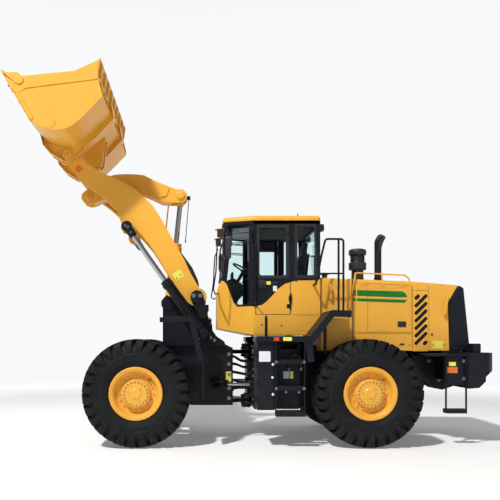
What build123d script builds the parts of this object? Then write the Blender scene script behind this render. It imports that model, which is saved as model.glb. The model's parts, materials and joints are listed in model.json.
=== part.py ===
from build123d import *
import os
from math import sin, cos, radians, hypot, atan2, degrees

# Articulated wheel loader with raised, rolled back bucket.
# Frame: +Z up, the machine's front faces -X, its left side faces -Y.
# Origin: on the ground under the articulation hinge.

# ---- driving dimensions, mm ----
WHEEL_R = 790.0          # tyre outer radius
WHEEL_W = 597.0          # tyre section width
TRACK = 2200.0           # wheel centre to wheel centre
FRONT_X, REAR_X = -1684.0, 1690.0
RIM_R = 392.0            # visible rim flange radius
AXLE_Z = WHEEL_R

BOOM_PIVOT = (-807.0, 2231.0)
BUCKET_PIN = (-2815.0, 4425.0)
ROCKER_PIN = (-1950.0, 4050.0)
LINK_LOW = (-2569.0, 3886.0)
LINK_TOP = (-2437.4, 4474.7)
TILT_EYE = (-1074.0, 3908.0)
TILT_BASE = (-1261.0, 2139.0)
LIFT_BASE = (-720.0, 1660.0)
LIFT_EYE = (-1884.0, 3309.0)
LIFT_Y = 680.0           # lift cylinders, half spacing
ARM_IN, ARM_OUT = 505.0, 575.0
STEER_BASE = (620.0, 460.0, 875.0)    # on the rear frame (left one at -Y)
STEER_EYE = (-420.0, 560.0, 875.0)    # on the front frame

BUCKET_HALF = 1475.0
BUCKET_T = 22.0
FLOOR_FRONT = (-3504.0, 5272.0)       # front end of the bucket floor
FLOOR_DIR, FLOOR_UP = (-0.5, 0.866), (0.866, 0.5)
EDGE_TIP = (170.0, -12.0)             # tip of the cutting edge, along and above the floor
CW_X1 = -(FLOOR_FRONT[0] + FLOOR_DIR[0] * EDGE_TIP[0] + FLOOR_UP[0] * EDGE_TIP[1])

CAB_X0, CAB_X1 = -490.0, 1070.0
CAB_SIDE = 800.0
CAB_NOSE = 450.0
CAB_WALL = 45.0
CAB_BOTTOM, CAB_FLOOR, CAB_TOP = 1640.0, 1900.0, 3380.0

HOOD_X0, HOOD_X1 = 1580.0, 3186.0
HOOD_SIDE = 750.0
HOOD_T = 8.0
PLATFORM_Y = 1400.0

os.makedirs("parts", exist_ok=True)


# ---- helpers: each adds to the part that is open around the call ----
def side(points, y0, y1, mode=Mode.ADD, rounding=0.0):
    """Plate with its outline in X, Z and its thickness from y0 to y1."""
    with BuildSketch(Plane.XZ.offset(-y1)) as sk:
        with BuildLine():
            Polyline(*points, close=True)
        make_face()
        if rounding:
            fillet(sk.vertices(), radius=rounding)
    extrude(sk.sketch, amount=y1 - y0, mode=mode)


def plan(points, z0, z1, mode=Mode.ADD, rounding=0.0):
    """Plate with its outline in X, Y and its thickness from z0 to z1."""
    with BuildSketch(Plane.XY.offset(z0)) as sk:
        with BuildLine():
            Polyline(*points, close=True)
        make_face()
        if rounding:
            fillet(sk.vertices(), radius=rounding)
    extrude(sk.sketch, amount=z1 - z0, mode=mode)


def end(points, x0, x1, mode=Mode.ADD, rounding=0.0):
    """Plate with its outline in Y, Z and its thickness from x0 to x1."""
    with BuildSketch(Plane.YZ.offset(x0)) as sk:
        with BuildLine():
            Polyline(*points, close=True)
        make_face()
        if rounding:
            fillet(sk.vertices(), radius=rounding)
    extrude(sk.sketch, amount=x1 - x0, mode=mode)


def block(x0, x1, y0, y1, z0, z1, mode=Mode.ADD):
    with Locations(((x0 + x1) / 2, (y0 + y1) / 2, (z0 + z1) / 2)):
        Box(x1 - x0, y1 - y0, z1 - z0, mode=mode)


def rod(p, q, r, mode=Mode.ADD, r2=None):
    """Round bar from p to q."""
    p, q = Vector(*p), Vector(*q)
    with Locations(Plane(origin=p, z_dir=q - p)):
        if r2 is None:
            Cylinder(r, (q - p).length, align=(Align.CENTER, Align.CENTER, Align.MIN), mode=mode)
        else:
            Cone(r, r2, (q - p).length, align=(Align.CENTER, Align.CENTER, Align.MIN), mode=mode)


def pin_y(xz, r, y0, y1, mode=Mode.ADD):
    rod((xz[0], y0, xz[1]), (xz[0], y1, xz[1]), r, mode)


def pin_z(x, y, r, z0, z1, mode=Mode.ADD):
    rod((x, y, z0), (x, y, z1), r, mode)


def pipe(points, r, bend):
    with BuildLine() as path:
        FilletPolyline(*points, radius=bend)
    with BuildSketch(path.line ^ 0) as sec:
        Circle(r)
    sweep(sec.sketch, path=path.line)


def strip(points, t):
    """Closed outline of a bent sheet: the points and their offset by t to the left."""
    n = len(points)
    out = []
    for i, (x, z) in enumerate(points):
        dirs = []
        if i > 0:
            dx, dz = x - points[i - 1][0], z - points[i - 1][1]
            dirs.append((dx / hypot(dx, dz), dz / hypot(dx, dz)))
        if i < n - 1:
            dx, dz = points[i + 1][0] - x, points[i + 1][1] - z
            dirs.append((dx / hypot(dx, dz), dz / hypot(dx, dz)))
        sx, sz = sum(d[0] for d in dirs), sum(d[1] for d in dirs)
        length = hypot(sx, sz)
        nx, nz = -sz / length, sx / length
        c = nx * -dirs[0][1] + nz * dirs[0][0]
        out.append((x + nx * t / c, z + nz * t / c))
    return list(points) + out[::-1]


def along(p, q, dist):
    length = hypot(q[0] - p[0], q[1] - p[1])
    return (p[0] + (q[0] - p[0]) * dist / length, p[1] + (q[1] - p[1]) * dist / length)


def write(part, name):
    part.label = name
    export_step(part, f"parts/{name}.step")
    print(name, len(part.solids()), round(part.volume / 1e6, 1))


# =====================================================================
# wheels
# =====================================================================
TYRE_HALF = [
    (333, 231), (390, 235), (394, 262), (450, 285), (540, 298), (620, 297), (690, 290),
    (745, 276), (776, 250), (789, 190), (790, 0),
]


def tyre_at(x, y):
    with BuildPart() as tyre:
        with BuildSketch(Plane.XY) as sk:
            with BuildLine():
                pts = [(r, h) for r, h in TYRE_HALF] + [(r, -h) for r, h in TYRE_HALF[::-1][1:]]
                Polyline(*[(x + r, y + h) for r, h in pts], close=True)
            make_face()
        face = sk.sketch.moved(Location((0, 0, AXLE_Z)))
        revolve(face, axis=Axis((x, 0, AXLE_Z), (0, 1, 0)), revolution_arc=360)
    return tyre.part


# rim cross section: radius, distance outward from the wheel's middle
RIM_OUT = [
    (122, -70), (122, 60), (60, 60), (0, 60),
    (0, 262), (70, 262), (92, 246), (150, 240), (196, 232), (206, 214), (206, 168),
    (282, 168), (296, 182), (322, 250), (342, 268), (388, 268), (388, 238), (331, 234),
    (331, -234), (388, -238), (388, -268), (330, -268), (312, -240), (312, 120),
    (240, 120), (240, -10), (170, -70),
]


def rim_at(x, y, s):
    with BuildPart() as rim:
        with BuildSketch(Plane.XY.offset(AXLE_Z)) as sk:
            with BuildLine():
                Polyline(*[(x + r, y + s * h) for r, h in RIM_OUT], close=True)
            make_face()
        revolve(sk.sketch, axis=Axis((x, 0, AXLE_Z), (0, 1, 0)), revolution_arc=360)
    return rim.part


for tag, wx in (("front", FRONT_X), ("rear", REAR_X)):
    for hand, s in (("left", -1), ("right", 1)):
        write(tyre_at(wx, s * TRACK / 2), f"{tag}_{hand}_tyre")
        write(rim_at(wx, s * TRACK / 2, s), f"{tag}_{hand}_rim")


# =====================================================================
# axles
# =====================================================================
def axle_at(x):
    with BuildPart() as axle:
        # tubular housing, swelling to the differential in the middle
        with BuildSketch(Plane.XY.offset(AXLE_Z)) as sk:
            with BuildLine():
                pts = [(0, 0), (230, 0), (228, 60), (212, 130), (160, 210), (125, 260), (110, 420), (110, 640),
                       (150, 690), (150, 770), (118, 790), (118, 1152), (0, 1152)]
                Polyline(*[(x + r, h) for r, h in pts], close=True)
            make_face()
        revolve(sk.sketch, axis=Axis((x, 0, AXLE_Z), (0, 1, 0)), revolution_arc=360)
        mirror(about=Plane.XZ)
        # pinion nose towards the articulation
        d = 1 if x < 0 else -1
        rod((x + d * 150, 0, AXLE_Z), (x + d * 420, 0, AXLE_Z), 120, r2=70)
    return axle


front_axle = axle_at(FRONT_X)
with BuildPart() as front_axle_full:
    add(front_axle.part)
    # spring seats bolted up to the frame
    for s in (-1, 1):
        block(FRONT_X - 130, FRONT_X + 130, s * 395 - 65, s * 395 + 65, 790, 930)
write(front_axle_full.part, "front_axle")

rear_axle = axle_at(REAR_X)
with BuildPart() as rear_axle_full:
    add(rear_axle.part)
    # cradle that carries the oscillating axle under the frame
    for s in (-1, 1):
        block(REAR_X - 110, REAR_X + 110, s * 300 - 40, s * 300 + 40, 790, 960)
write(rear_axle_full.part, "rear_axle")

# =====================================================================
# front frame
# =====================================================================
FRAME_SIDE = [
    (-1990, 960), (-1990, 1130), (-1880, 1330), (-1476, 1500), (-600, 1500), (-366, 1500), (-240, 1438),
    (-240, 530), (-870, 530), (-1180, 560), (-1330, 930),
]
TOWER = [
    (-1330, 1480), (-1330, 2180), (-1310, 2230), (-1265, 2262), (-1200, 2240), (-1110, 2120), (-1010, 2060),
    (-930, 2120), (-905, 2231), (-880, 2302), (-807, 2336), (-734, 2305), (-700, 2231), (-690, 2150),
    (-620, 1890), (-585, 1740), (-500, 1620), (-380, 1540), (-366, 1480),
]
with BuildPart() as front_frame:
    # lower side plates
    side(FRAME_SIDE, -360, -325)
    # tower side plate with the inner boom ear and the tilt cylinder ear
    side(TOWER, -470, -430)
    # shelf that joins tower and lower plates
    block(-1476, -400, -470, 1, 1480, 1520)
    # axle pad
    block(FRONT_X - 150, FRONT_X + 150, -460, -325, 930, 970)
    block(FRONT_X - 150, FRONT_X + 150, -360, 1, 1040, 1080)
    # rear bulkhead with an opening for hoses, nose plate and belly plate
    block(-280, -240, -340, 1, 530, 1440)
    block(-281, -239, -200, 1, 760, 1240, mode=Mode.SUBTRACT)
    block(-870, -260, -340, 1, 530, 560)
    block(-1990, -1950, -340, 1, 960, 1150)
    # tower back wall and front wall, low enough for the tilt cylinder to swing over
    block(-1100, -1070, -440, 1, 1500, 1900)
    block(-640, -610, -440, 1, 1500, 1690)
    # tilt cylinder cross beam and its lugs
    block(-1330, -1200, -440, 1, 1820, 1960)
    side([(-1330, 1900), (-1361, 2139), (-1331, 2210), (-1261, 2239), (-1191, 2210), (-1161, 2139), (-1190, 1900)], -130, -100)
    # outer boom ear, carried outward from the tower plate
    side([(-758, 1900), (-905, 2190), (-907, 2231), (-878, 2302), (-807, 2331), (-736, 2302), (-707, 2231), (-640, 1900)], -660, -605)
    block(-758, -640, -660, -440, 1900, 1965)
    # boss and pin for the lift cylinder foot
    pin_y(LIFT_BASE, 75, -620, -440)
    pin_y(LIFT_BASE, 38, -765, -600)
    pin_y(LIFT_BASE, 62, -775, -745)
    # steering cylinder bracket
    plan([(-600, -345), (-600, -470), (-470, -620), (-370, -620), (-300, -345)], 905, 935)
    plan([(-600, -345), (-600, -470), (-470, -620), (-370, -620), (-300, -345)], 815, 845)
    block(-600, -560, -470, -345, 815, 935)
    # hinge lugs, upper and lower
    plan([(-300, 1), (-300, -300), (-240, -300), (0, -100), (60, -75), (95, 0), (95, 1)], 1345, 1405)
    plan([(-300, 1), (-300, -300), (-240, -300), (0, -100), (60, -75), (95, 0), (95, 1)], 565, 625)
    mirror(about=Plane.XZ)
    # bores
    pin_z(0, 0, 45.3, 1300, 1450, mode=Mode.SUBTRACT)
    pin_z(0, 0, 45.3, 540, 650, mode=Mode.SUBTRACT)
    # clearance for the differential
    pin_y((FRONT_X, AXLE_Z), 245, -330, 330, mode=Mode.SUBTRACT)
    # boom pivot pins and caps
    for s in (-1, 1):
        pin_y(BOOM_PIVOT, 45, s * 430, s * 690)
        pin_y(BOOM_PIVOT, 100, s * 650, s * 690)
    # tilt cylinder pin
    pin_y(TILT_BASE, 40, -140, 140)
    # steering cylinder pins
    for s in (-1, 1):
        pin_z(STEER_EYE[0], s * STEER_EYE[1], 50, 935, 950)
write(front_frame.part, "front_frame")

with BuildPart() as front_fenders:
    outline = [(-709, 693), (-709, 1290), (-727, 1340), (-846, 1835), (-868, 1875), (-905, 1895), (-1337, 1887)]
    side(strip(outline, 14), -1400, -850)
    side(strip([(-709, 1290), (-727, 1340), (-846, 1835), (-868, 1875), (-905, 1895), (-1337, 1887)], 70), -1400, -1380)
    # bracket arms back to the frame
    block(-810, -771, -1300, -361, 1440, 1475)
    mirror(about=Plane.XZ)
write(front_fenders.part, "front_fenders")

# =====================================================================
# rear frame
# =====================================================================
with BuildPart() as rear_frame:
    # main rails
    side([(108, 460), (108, 1470), (1200, 1470), (2400, 1385), (3180, 1385), (3180, 860), (3013, 789), (2873, 816),
          (2655, 1000), (2300, 1060), (1900, 1060), (1900, 960), (1480, 960), (1480, 1060), (1150, 1060), (820, 480)], -330, -290)
    # front bulkhead and cross members
    block(108, 143, -300, 1, 460, 1470)
    block(107, 144, -180, 1, 760, 1240, mode=Mode.SUBTRACT)
    block(108, 820, -300, 1, 460, 490)
    block(820, 860, -300, 1, 900, 1460)
    block(1500, 1880, -300, 1, 1060, 1110)
    block(2500, 2560, -300, 1, 1062, 1110)
    # upper and lower hinge clevises
    for z0, z1 in ((1295, 1335), (1415, 1455), (515, 555), (635, 675)):
        plan([(109, 1), (109, -230), (90, -230), (35, -88), (0, -90), (-60, -70), (-90, 0), (-90, 1)], z0, z1)
    # steering cylinder brackets
    plan([(545, -310), (568, -460), (590, -505), (650, -505), (672, -460), (695, -310)], 905, 930)
    plan([(545, -310), (568, -460), (590, -505), (650, -505), (672, -460), (695, -310)], 820, 845)
    # outriggers that carry platform, tank and fenders
    block(380, 440, -1000, -300, 1440, 1500)
    block(690, 750, -1000, -300, 1440, 1500)
    block(1085, 1125, -1000, -300, 1365, 1392)
    block(1085, 1125, -1000, -960, 1365, 1926)
    # rear side plates, outboard of the rails
    side([(2520, 1361), (2655, 1018), (2873, 816), (3013, 789), (3180, 845), (3180, 1361)], -560, -530)
    block(2560, 3180, -550, -300, 1320, 1361)
    mirror(about=Plane.XZ)
    # hinge pins
    pin_z(0, 0, 45, 1270, 1480)
    pin_z(0, 0, 45, 490, 700)
    pin_z(0, 0, 75, 1455, 1480)
    pin_z(0, 0, 75, 490, 515)
    # steering cylinder pins
    for s in (-1, 1):
        pin_z(STEER_BASE[0], s * STEER_BASE[1], 25, 805, 945)
    # pockets in the rails where the steering barrels swing in
    for s in (-1, 1):
        block(95, 200, *sorted((s * 310, s * 331)), 822, 928, mode=Mode.SUBTRACT)
    # clearance for the differential
    pin_y((REAR_X, AXLE_Z), 245, -300, 300, mode=Mode.SUBTRACT)
write(rear_frame.part, "rear_frame")

with BuildPart() as counterweight:
    side([(3185, 1375), (CW_X1, 1375), (CW_X1, 1105), (3352, 858), (3185, 845)], -1120, 1120, rounding=12)
    # rounded corners in plan
    block(3450, CW_X1 + 1, -1121, -1120 + 130, 800, 1400, mode=Mode.SUBTRACT)
    block(3450, CW_X1 + 1, 1120 - 130, 1121, 800, 1400, mode=Mode.SUBTRACT)
    plan([(3440, -1120), (3520, -1085), (3575, -1020), (3590, -985), (3440, -985)], 1100, 1375)
    plan([(3440, 1120), (3440, 985), (3590, 985), (3575, 1020), (3520, 1085)], 1100, 1375)
    # tow hitch jaw with its lower lip and pin bore
    block(3440, CW_X1, -150, 150, 1000, 1150)
    block(3380, CW_X1 + 1, -120, 120, 1075, 1180, mode=Mode.SUBTRACT)
    pin_z(3520, 0, 28, 800, 1400, mode=Mode.SUBTRACT)
write(counterweight.part, "counterweight")

with BuildPart() as engine:
    block(1720, 2900, -270, 270, 1110, 1950)
write(engine.part, "engine")

# =====================================================================
# hood, tank cover, grille
# =====================================================================
def top_z(x):
    """Height of the hood line."""
    pts = [(1066, 2521), (1563, 2501), (2465, 2463), (3186, 2405)]
    for (xa, za), (xb, zb) in zip(pts, pts[1:]):
        if x <= xb:
            return za + (zb - za) * (x - xa) / (xb - xa)
    return pts[-1][1]


def shell(points, y, r):
    """Block over the whole width with its long top edges rounded."""
    with BuildPart() as body:
        side(points, -y, y)
        edges = [e for e in body.edges() if e.center().Z > 2390 and abs(abs(e.center().Y) - y) < 1 and e.bounding_box().size.X > 100]
        fillet(edges, radius=r)
    return body.part


cover_out = shell([(1086, 1400), (1086, 2519), (1570, 2500), (1570, 1400)], HOOD_SIDE, 48)
cover_in = shell([(1100, 1390), (1100, 2509), (1580, 2490), (1580, 1390)], HOOD_SIDE - HOOD_T, 42)
with BuildPart() as tank_cover:
    add(cover_out)
    add(cover_in, mode=Mode.SUBTRACT)
    # room for the frame rails in the front wall
    block(1080, 1101, -338, 338, 1390, 1476, mode=Mode.SUBTRACT)
    # filler neck and cap
    pin_z(1180, -560, 45, 2500, 2545)
write(tank_cover.part, "tank_cover")

DOOR_X0, DOOR_X1, DOOR_Z0 = 1600.0, 2478.0, 1673.0
outer = [(HOOD_X0, 1400), (HOOD_X0, top_z(HOOD_X0)), (2465, 2463), (3186, 2405), (3069, 2209), (3030, 2130), (3049, 1400)]
inner = [(HOOD_X0 - 10, 1390), (HOOD_X0 - 10, top_z(HOOD_X0) - 10), (2465, 2453), (3150, 2398), (3055, 2215),
         (3020, 2130), (3039, 1390)]
hood_out = shell(outer, HOOD_SIDE, 48)
hood_in = shell(inner, HOOD_SIDE - HOOD_T, 42)
with BuildPart() as hood:
    add(hood_out)
    add(hood_in, mode=Mode.SUBTRACT)
    # openings for the engine doors
    side([(DOOR_X0, DOOR_Z0), (DOOR_X0, top_z(DOOR_X0) - 60), (DOOR_X1, top_z(DOOR_X1) - 60), (DOOR_X1, DOOR_Z0)], -800, 800, mode=Mode.SUBTRACT)
    # rear opening behind the grille
    block(3000, 3200, -620, 620, 1480, 2330, mode=Mode.SUBTRACT)
    # openings for exhaust pipe and air intake
    pin_z(2163, 0, 62, 2300, 2600, mode=Mode.SUBTRACT)
    pin_z(1827, 0, 62, 2300, 2600, mode=Mode.SUBTRACT)
write(hood.part, "hood")

for hand, s in (("left", -1), ("right", 1)):
    with BuildPart() as hood_door:
        g = 4
        y0, y1 = sorted((s * (HOOD_SIDE - HOOD_T), s * HOOD_SIDE))
        side([(DOOR_X0 + g, DOOR_Z0 + g), (DOOR_X0 + g, top_z(DOOR_X0) - 60 - g), (DOOR_X1 - g, top_z(DOOR_X1) - 60 - g),
              (DOOR_X1 - g, DOOR_Z0 + g)], y0, y1)
        # hinge knuckles along the top edge
        for x in (1740, 2039, 2338):
            za, zb = top_z(x - 35) - 60, top_z(x + 35) - 60
            rod((x - 35, s * 758, za), (x + 35, s * 758, zb), 6)
            end([(s * 748, za - 45), (s * 755, za - 45), (s * 763, za - 4), (s * 753, za - 2), (s * 751.5, za - 8), (s * 748, za - 10)], x - 35, x + 35)
    write(hood_door.part, f"hood_door_{hand}")

with BuildPart() as grille:
    # dark surround behind the hood, with the grille panel set into it
    side([(3200, 2400), (3274, 2359), (3371, 1400), (3060, 1400), (3042, 2130), (3080, 2209)], -745, 745)
    block(3000, 3400, -640, 640, 1480, 2330, mode=Mode.SUBTRACT)
write(grille.part, "grille_surround")

with BuildPart() as grille_door:
    side([(3236, 2322), (3248, 2322), (3323, 1488), (3311, 1488)], -632, 632)
    for i in range(12):
        z = 1540 + i * 62
        x = 3325 - (z - 1480) * 85 / 850
        block(x - 50, x + 50, -570, 570, z, z + 30, mode=Mode.SUBTRACT)
    # hinge knuckles at the right edge
    for z in (1620, 2170):
        dx = (1900 - z) * 0.09
        rod((3332 + dx + 3.6, 640, z - 40), (3332 + dx - 3.6, 640, z + 40), 7)
        plan([(3276 + dx, 596), (3296 + dx, 596), (3339 + dx, 634), (3334 + dx, 644), (3323 + dx, 630), (3276 + dx, 630)], z - 40, z + 40)
write(grille_door.part, "grille_door")

with BuildPart() as hood_rail:
    for s in (-1, 1):
        pipe([(1637, s * 650, 2499), (1637, s * 650, 2601), (2400, s * 650, 2565), (2467, s * 650, 2510), (2467, s * 650, 2464.5)], 12, 25)
        rod((2050, s * 650, 2482), (2050, s * 650, 2580), 12)
write(hood_rail.part, "hood_rails")

with BuildPart() as precleaner:
    pin_z(1827, 0, 55, 2485, 2600)
    pin_z(1827, 0, 110, 2600, 2767)
    pin_z(1827, 0, 142, 2767, 2890)
    pin_z(1827, 0, 110, 2890, 3010)
    pin_z(1827, 0, 142, 3010, 3066)
write(precleaner.part, "precleaner")

with BuildPart() as exhaust:
    pipe([(2163, 0, 2470), (2163, 0, 3180), (2215, 0, 3262)], 57, 90)
    with BuildLine() as bore_path:
        FilletPolyline((2163, 0, 2600), (2163, 0, 3180), (2220, 0, 3270), radius=90)
    with BuildSketch(bore_path.line ^ 0) as bore_sec:
        Circle(52)
    sweep(bore_sec.sketch, path=bore_path.line, mode=Mode.SUBTRACT)
write(exhaust.part, "exhaust_pipe")

# =====================================================================
# cab
# =====================================================================
CAB_PLAN = [(CAB_X0, -CAB_NOSE), (50, -CAB_SIDE), (CAB_X1, -CAB_SIDE), (CAB_X1, CAB_SIDE), (50, CAB_SIDE), (CAB_X0, CAB_NOSE)]
t = CAB_WALL
CAB_PLAN_IN = [(CAB_X0 + t, -CAB_NOSE + 16), (50 + 13, -CAB_SIDE + t), (CAB_X1 - t, -CAB_SIDE + t), (CAB_X1 - t, CAB_SIDE - t),
               (50 + 13, CAB_SIDE - t), (CAB_X0 + t, CAB_NOSE - 16)]
# side view of the front: the nose under a leaning windscreen
CAB_SIDE_VIEW = [(CAB_X0, 1745), (CAB_X0, 2300), (-470, 2420), (-410, 2500), (-322, CAB_TOP), (CAB_X1, CAB_TOP), (CAB_X1, CAB_BOTTOM),
                 (50, CAB_BOTTOM)]
CAB_SIDE_IN = [(CAB_X0 + t, CAB_FLOOR + 40), (CAB_X0 + t, 2290), (-430, 2400), (-366, 2490), (-275, CAB_TOP - 50), (CAB_X1 - t, CAB_TOP - 50),
               (CAB_X1 - t, CAB_FLOOR + 40)]
# line between the painted lower body and the dark window frames
WAIST = [(-600, 2560), (-394, 2487), (-344, 2437), (-238, 2140), (-181, 2077), (92, 2081), (183, 2096), (244, 2142), (335, 2233),
         (426, 2340), (528, 2416), (639, 2452), (746, 2486), (1200, 2492)]

with BuildPart() as cab_all:
    side(CAB_SIDE_VIEW, -900, 900)
    plan(CAB_PLAN, 1000, 4000, mode=Mode.INTERSECT)
with BuildPart() as cab_room:
    side(CAB_SIDE_IN, -900, 900)
    plan(CAB_PLAN_IN, 1000, 4000, mode=Mode.INTERSECT)
with BuildPart() as under_floor:
    side([(CAB_X0 + t, 1800), (CAB_X0 + t, CAB_FLOOR), (CAB_X1 - t, CAB_FLOOR), (CAB_X1 - t, 1680), (60, 1680)], -900, 900)
    plan(CAB_PLAN_IN, 1000, 4000, mode=Mode.INTERSECT)
QUARTER = [(-338, 2500), (-225, 2165), (-170, 2110), (-10, 2110), (-10, 3290), (-255, 3290)]
with BuildPart() as cab_shell:
    add(cab_all.part)
    add(cab_room.part, mode=Mode.SUBTRACT)
    add(under_floor.part, mode=Mode.SUBTRACT)
    # windscreen, quarter windows, door openings, rear side windows and rear window
    block(-600, -200, -385, 385, 2545, 3300, mode=Mode.SUBTRACT)
    for y0, y1 in ((-900, -440), (440, 900)):
        side(QUARTER, y0, y1, mode=Mode.SUBTRACT)
        side([(84, 1950), (84, 3325), (613, 3325), (613, 1950)], y0, y1, mode=Mode.SUBTRACT)
        side([(706, 2537), (706, 3310), (985, 3310), (1007, 2537)], y0, y1, mode=Mode.SUBTRACT)
    block(900, 1200, -600, 600, 2560, 3290, mode=Mode.SUBTRACT)

with BuildPart() as below_waist:
    side([(-600, 1000)] + WAIST + [(1200, 1000)], -1000, 1000)
with BuildPart() as cab_body:
    add(cab_shell.part)
    add(below_waist.part, mode=Mode.INTERSECT)
write(cab_body.part, "cab_body")
with BuildPart() as cab_frame:
    add(cab_shell.part)
    add(below_waist.part, mode=Mode.SUBTRACT)
write(cab_frame.part, "cab_frame")

with BuildPart() as cab_roof:
    with BuildSketch(Plane.XY.offset(CAB_TOP)) as sk:
        with BuildLine():
            Polyline((-410, -640), (60, -815), (1080, -815), (1080, 815), (60, 815), (-410, 640), close=True)
        make_face()
        fillet(sk.vertices(), radius=60)
    extrude(amount=80)
    chamfer(cab_roof.faces().sort_by(Axis.Z)[-1].edges(), length=35)
write(cab_roof.part, "cab_roof")

GLASS = 6.0
with BuildPart() as cab_glass:
    # windscreen in the plane of the leaning front
    side([(-389, 2550), (-383, 2550), (-304, 3295), (-310, 3295)], -384, 384)
    # rear side panes, rear pane
    for s in (-1, 1):
        y0, y1 = sorted((s * 770, s * 776))
        side([(707, 2538), (707, 3309), (984, 3309), (1006, 2538)], y0, y1)
    block(1045, 1051, -599, 599, 2561, 3289)
    # quarter panes in the slanted corner walls
with BuildPart() as quarter_panes:
    plan([(-460, -447), (40, -771), (36.6, -776), (-463.4, -452)], 2112, 3288)
    plan([(-460, 447), (-463.4, 452), (36.6, 776), (40, 771)], 2112, 3288)
    side([(x + (3 if x < -100 else -1), z - 1 if z > 3000 else z + 1) for x, z in QUARTER], -900, 900, mode=Mode.INTERSECT)
with BuildPart() as cab_glass_all:
    add(cab_glass.part)
    add(quarter_panes.part)
write(cab_glass_all.part, "cab_glass")

for hand, s in (("left", -1), ("right", 1)):
    y0, y1 = sorted((s * (CAB_SIDE - 40), s * (CAB_SIDE + 2)))
    with BuildPart() as door:
        side([(90, 1956), (90, 3319), (607, 3319), (607, 1956)], y0, y1)
        side([(137, 2537), (137, 3298 - 18), (555, 3298 - 18), (555, 2537)], -900, 900, mode=Mode.SUBTRACT)
        # hinge knuckles on the rear edge, handle on the front edge
        for z in (2080, 3180):
            rod((612, s * 814, z - 45), (612, s * 814, z + 45), 12)
            block(560, 612, min(s * 802, s * 814), max(s * 802, s * 814), z - 30, z + 30)
        block(120, 200, min(s * 802, s * 826), max(s * 802, s * 826), 2330, 2352)
    write(door.part, f"{hand}_door")
    with BuildPart() as pane:
        y0, y1 = sorted((s * 778, s * 784))
        side([(137.5, 2537.5), (137.5, 3279.5), (554.5, 3279.5), (554.5, 2537.5)], y0, y1)
    write(pane.part, f"{hand}_door_glass")

with BuildPart() as seat:
    # suspension box, cushion, backrest
    block(500, 900, -200, 200, CAB_FLOOR + 40, 2190)
    side([(440, 2200), (430, 2330), (900, 2300), (900, 2200)], -250, 250, rounding=30)
    side([(800, 2330), (900, 2960), (1000, 2960), (920, 2310)], -250, 250, rounding=30)
write(seat.part, "seat")

with BuildPart() as console:
    # steering pedestal, column and wheel
    side([(-330, CAB_FLOOR + 40), (-300, 2500), (-200, 2560), (-60, 2440), (-60, 2300), (-160, 2200), (-160, CAB_FLOOR + 40)], -170, 170)
    rod((-130, 0, 2440), (-40, 0, 2690), 28)
write(console.part, "steering_console")
with BuildPart() as steering_wheel:
    plane = Plane(origin=(-34, 0, 2712), z_dir=Vector(90, 0, 250))
    with Locations(plane):
        Torus(185, 14)
        Box(360, 24, 12)
        Box(24, 360, 12)
        Cylinder(38, 30)
write(steering_wheel.part, "steering_wheel")

# =====================================================================
# platforms, ladders, boxes, tanks, fenders, rails
# =====================================================================
with BuildPart() as platforms:
    block(45, 745, -PLATFORM_Y, -806, 1535, 1620)
    block(745, 821, -PLATFORM_Y, -1381, 1535, 1620)
    mirror(about=Plane.XZ)
write(platforms.part, "platforms")

with BuildPart() as ladders:
    for x in (326, 739):
        block(x - 8, x + 8, -1385, -1345, 505, 1535)
    block(326, 740, -1385, -1265, 1219, 1277)
    block(326, 740, -1385, -1265, 840, 900)
    block(326, 760, -1400, -1240, 467, 544)
    mirror(about=Plane.XZ)
write(ladders.part, "ladders")

with BuildPart() as side_boxes:
    block(66, 316, -1330, -760, 553, 1535)
    mirror(about=Plane.XZ)
write(side_boxes.part, "side_boxes")

with BuildPart() as side_tanks:
    side([(345, 560), (345, 1430), (735, 1430), (735, 1160), (690, 560)], -1040, -655, rounding=25)
    block(360, 400, -670, -330, 1000, 1100)
    block(690, 730, -670, -330, 1200, 1300)
    mirror(about=Plane.XZ)
write(side_tanks.part, "side_tanks")

with BuildPart() as rear_fenders:
    outline = [(787, 1247), (754, 1530), (1106, 1978), (1140, 1993), (1416, 1984)]
    side(strip(outline, -14), -1380, -806)
    side(strip(outline, -95), -1380, -1360)
    mirror(about=Plane.XZ)
write(rear_fenders.part, "rear_fenders")

with BuildPart() as handrails:
    # from the cab's rear corner up and over to the posts on the fender
    pipe([(967, -804, 2398), (967, -1000, 2398), (1053, -1000, 2836), (1110, -1000, 3069), (1377, -1000, 3069), (1377, -1000, 1988)], 16, 45)
    rod((1305, -1000, 1989), (1305, -1000, 3060), 16)
    rod((1000, -1000, 2555), (1377, -1000, 2555), 12)
    mirror(about=Plane.XZ)
write(handrails.part, "handrails")

with BuildPart() as grab_bars:
    for x, z0, z1 in ((200, 1620, 1905),):
        pipe([(x, -1330, z0), (x, -1330, z1), (x, -1190, z1), (x, -1190, z0)], 14, 40)
    mirror(about=Plane.XZ)
write(grab_bars.part, "grab_bars")

with BuildPart() as mirrors:
    for s in (-1, 1):
        pipe([(-300, s * 592, 3300), (-360, s * 900, 3300), (-400, s * 1000, 3180), (-400, s * 1000, 2900)], 10, 40)
        block(-415, -385, s * 1000 - 90, s * 1000 + 90, 2800, 3120)
write(mirrors.part, "mirrors")

with BuildPart() as lamps:
    for s in (-1, 1):
        # front and rear work lamps under the roof edge, head lamps on the fender arms
        block(-480, -400, s * 480 - 70, s * 480 + 70, 3180, 3300)
        block(-412, -336, s * 480 - 12, s * 480 + 12, 3290, 3380)
        block(1082, 1150, s * 600 - 70, s * 600 + 70, 3250, 3350)
        block(1072, 1100, s * 600 - 12, s * 600 + 12, 3350, 3380)
write(lamps.part, "work_lamps")

with BuildPart() as rear_steps:
    for x in (2871, 3168):
        block(x - 8, x + 8, -1110, -1070, 490, 1361)
    block(2871, 3176, -1110, -960, 481, 545)
    block(2560, 3180, -1110, -561, 1325, 1361)
    mirror(about=Plane.XZ)
write(rear_steps.part, "rear_steps")

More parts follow.
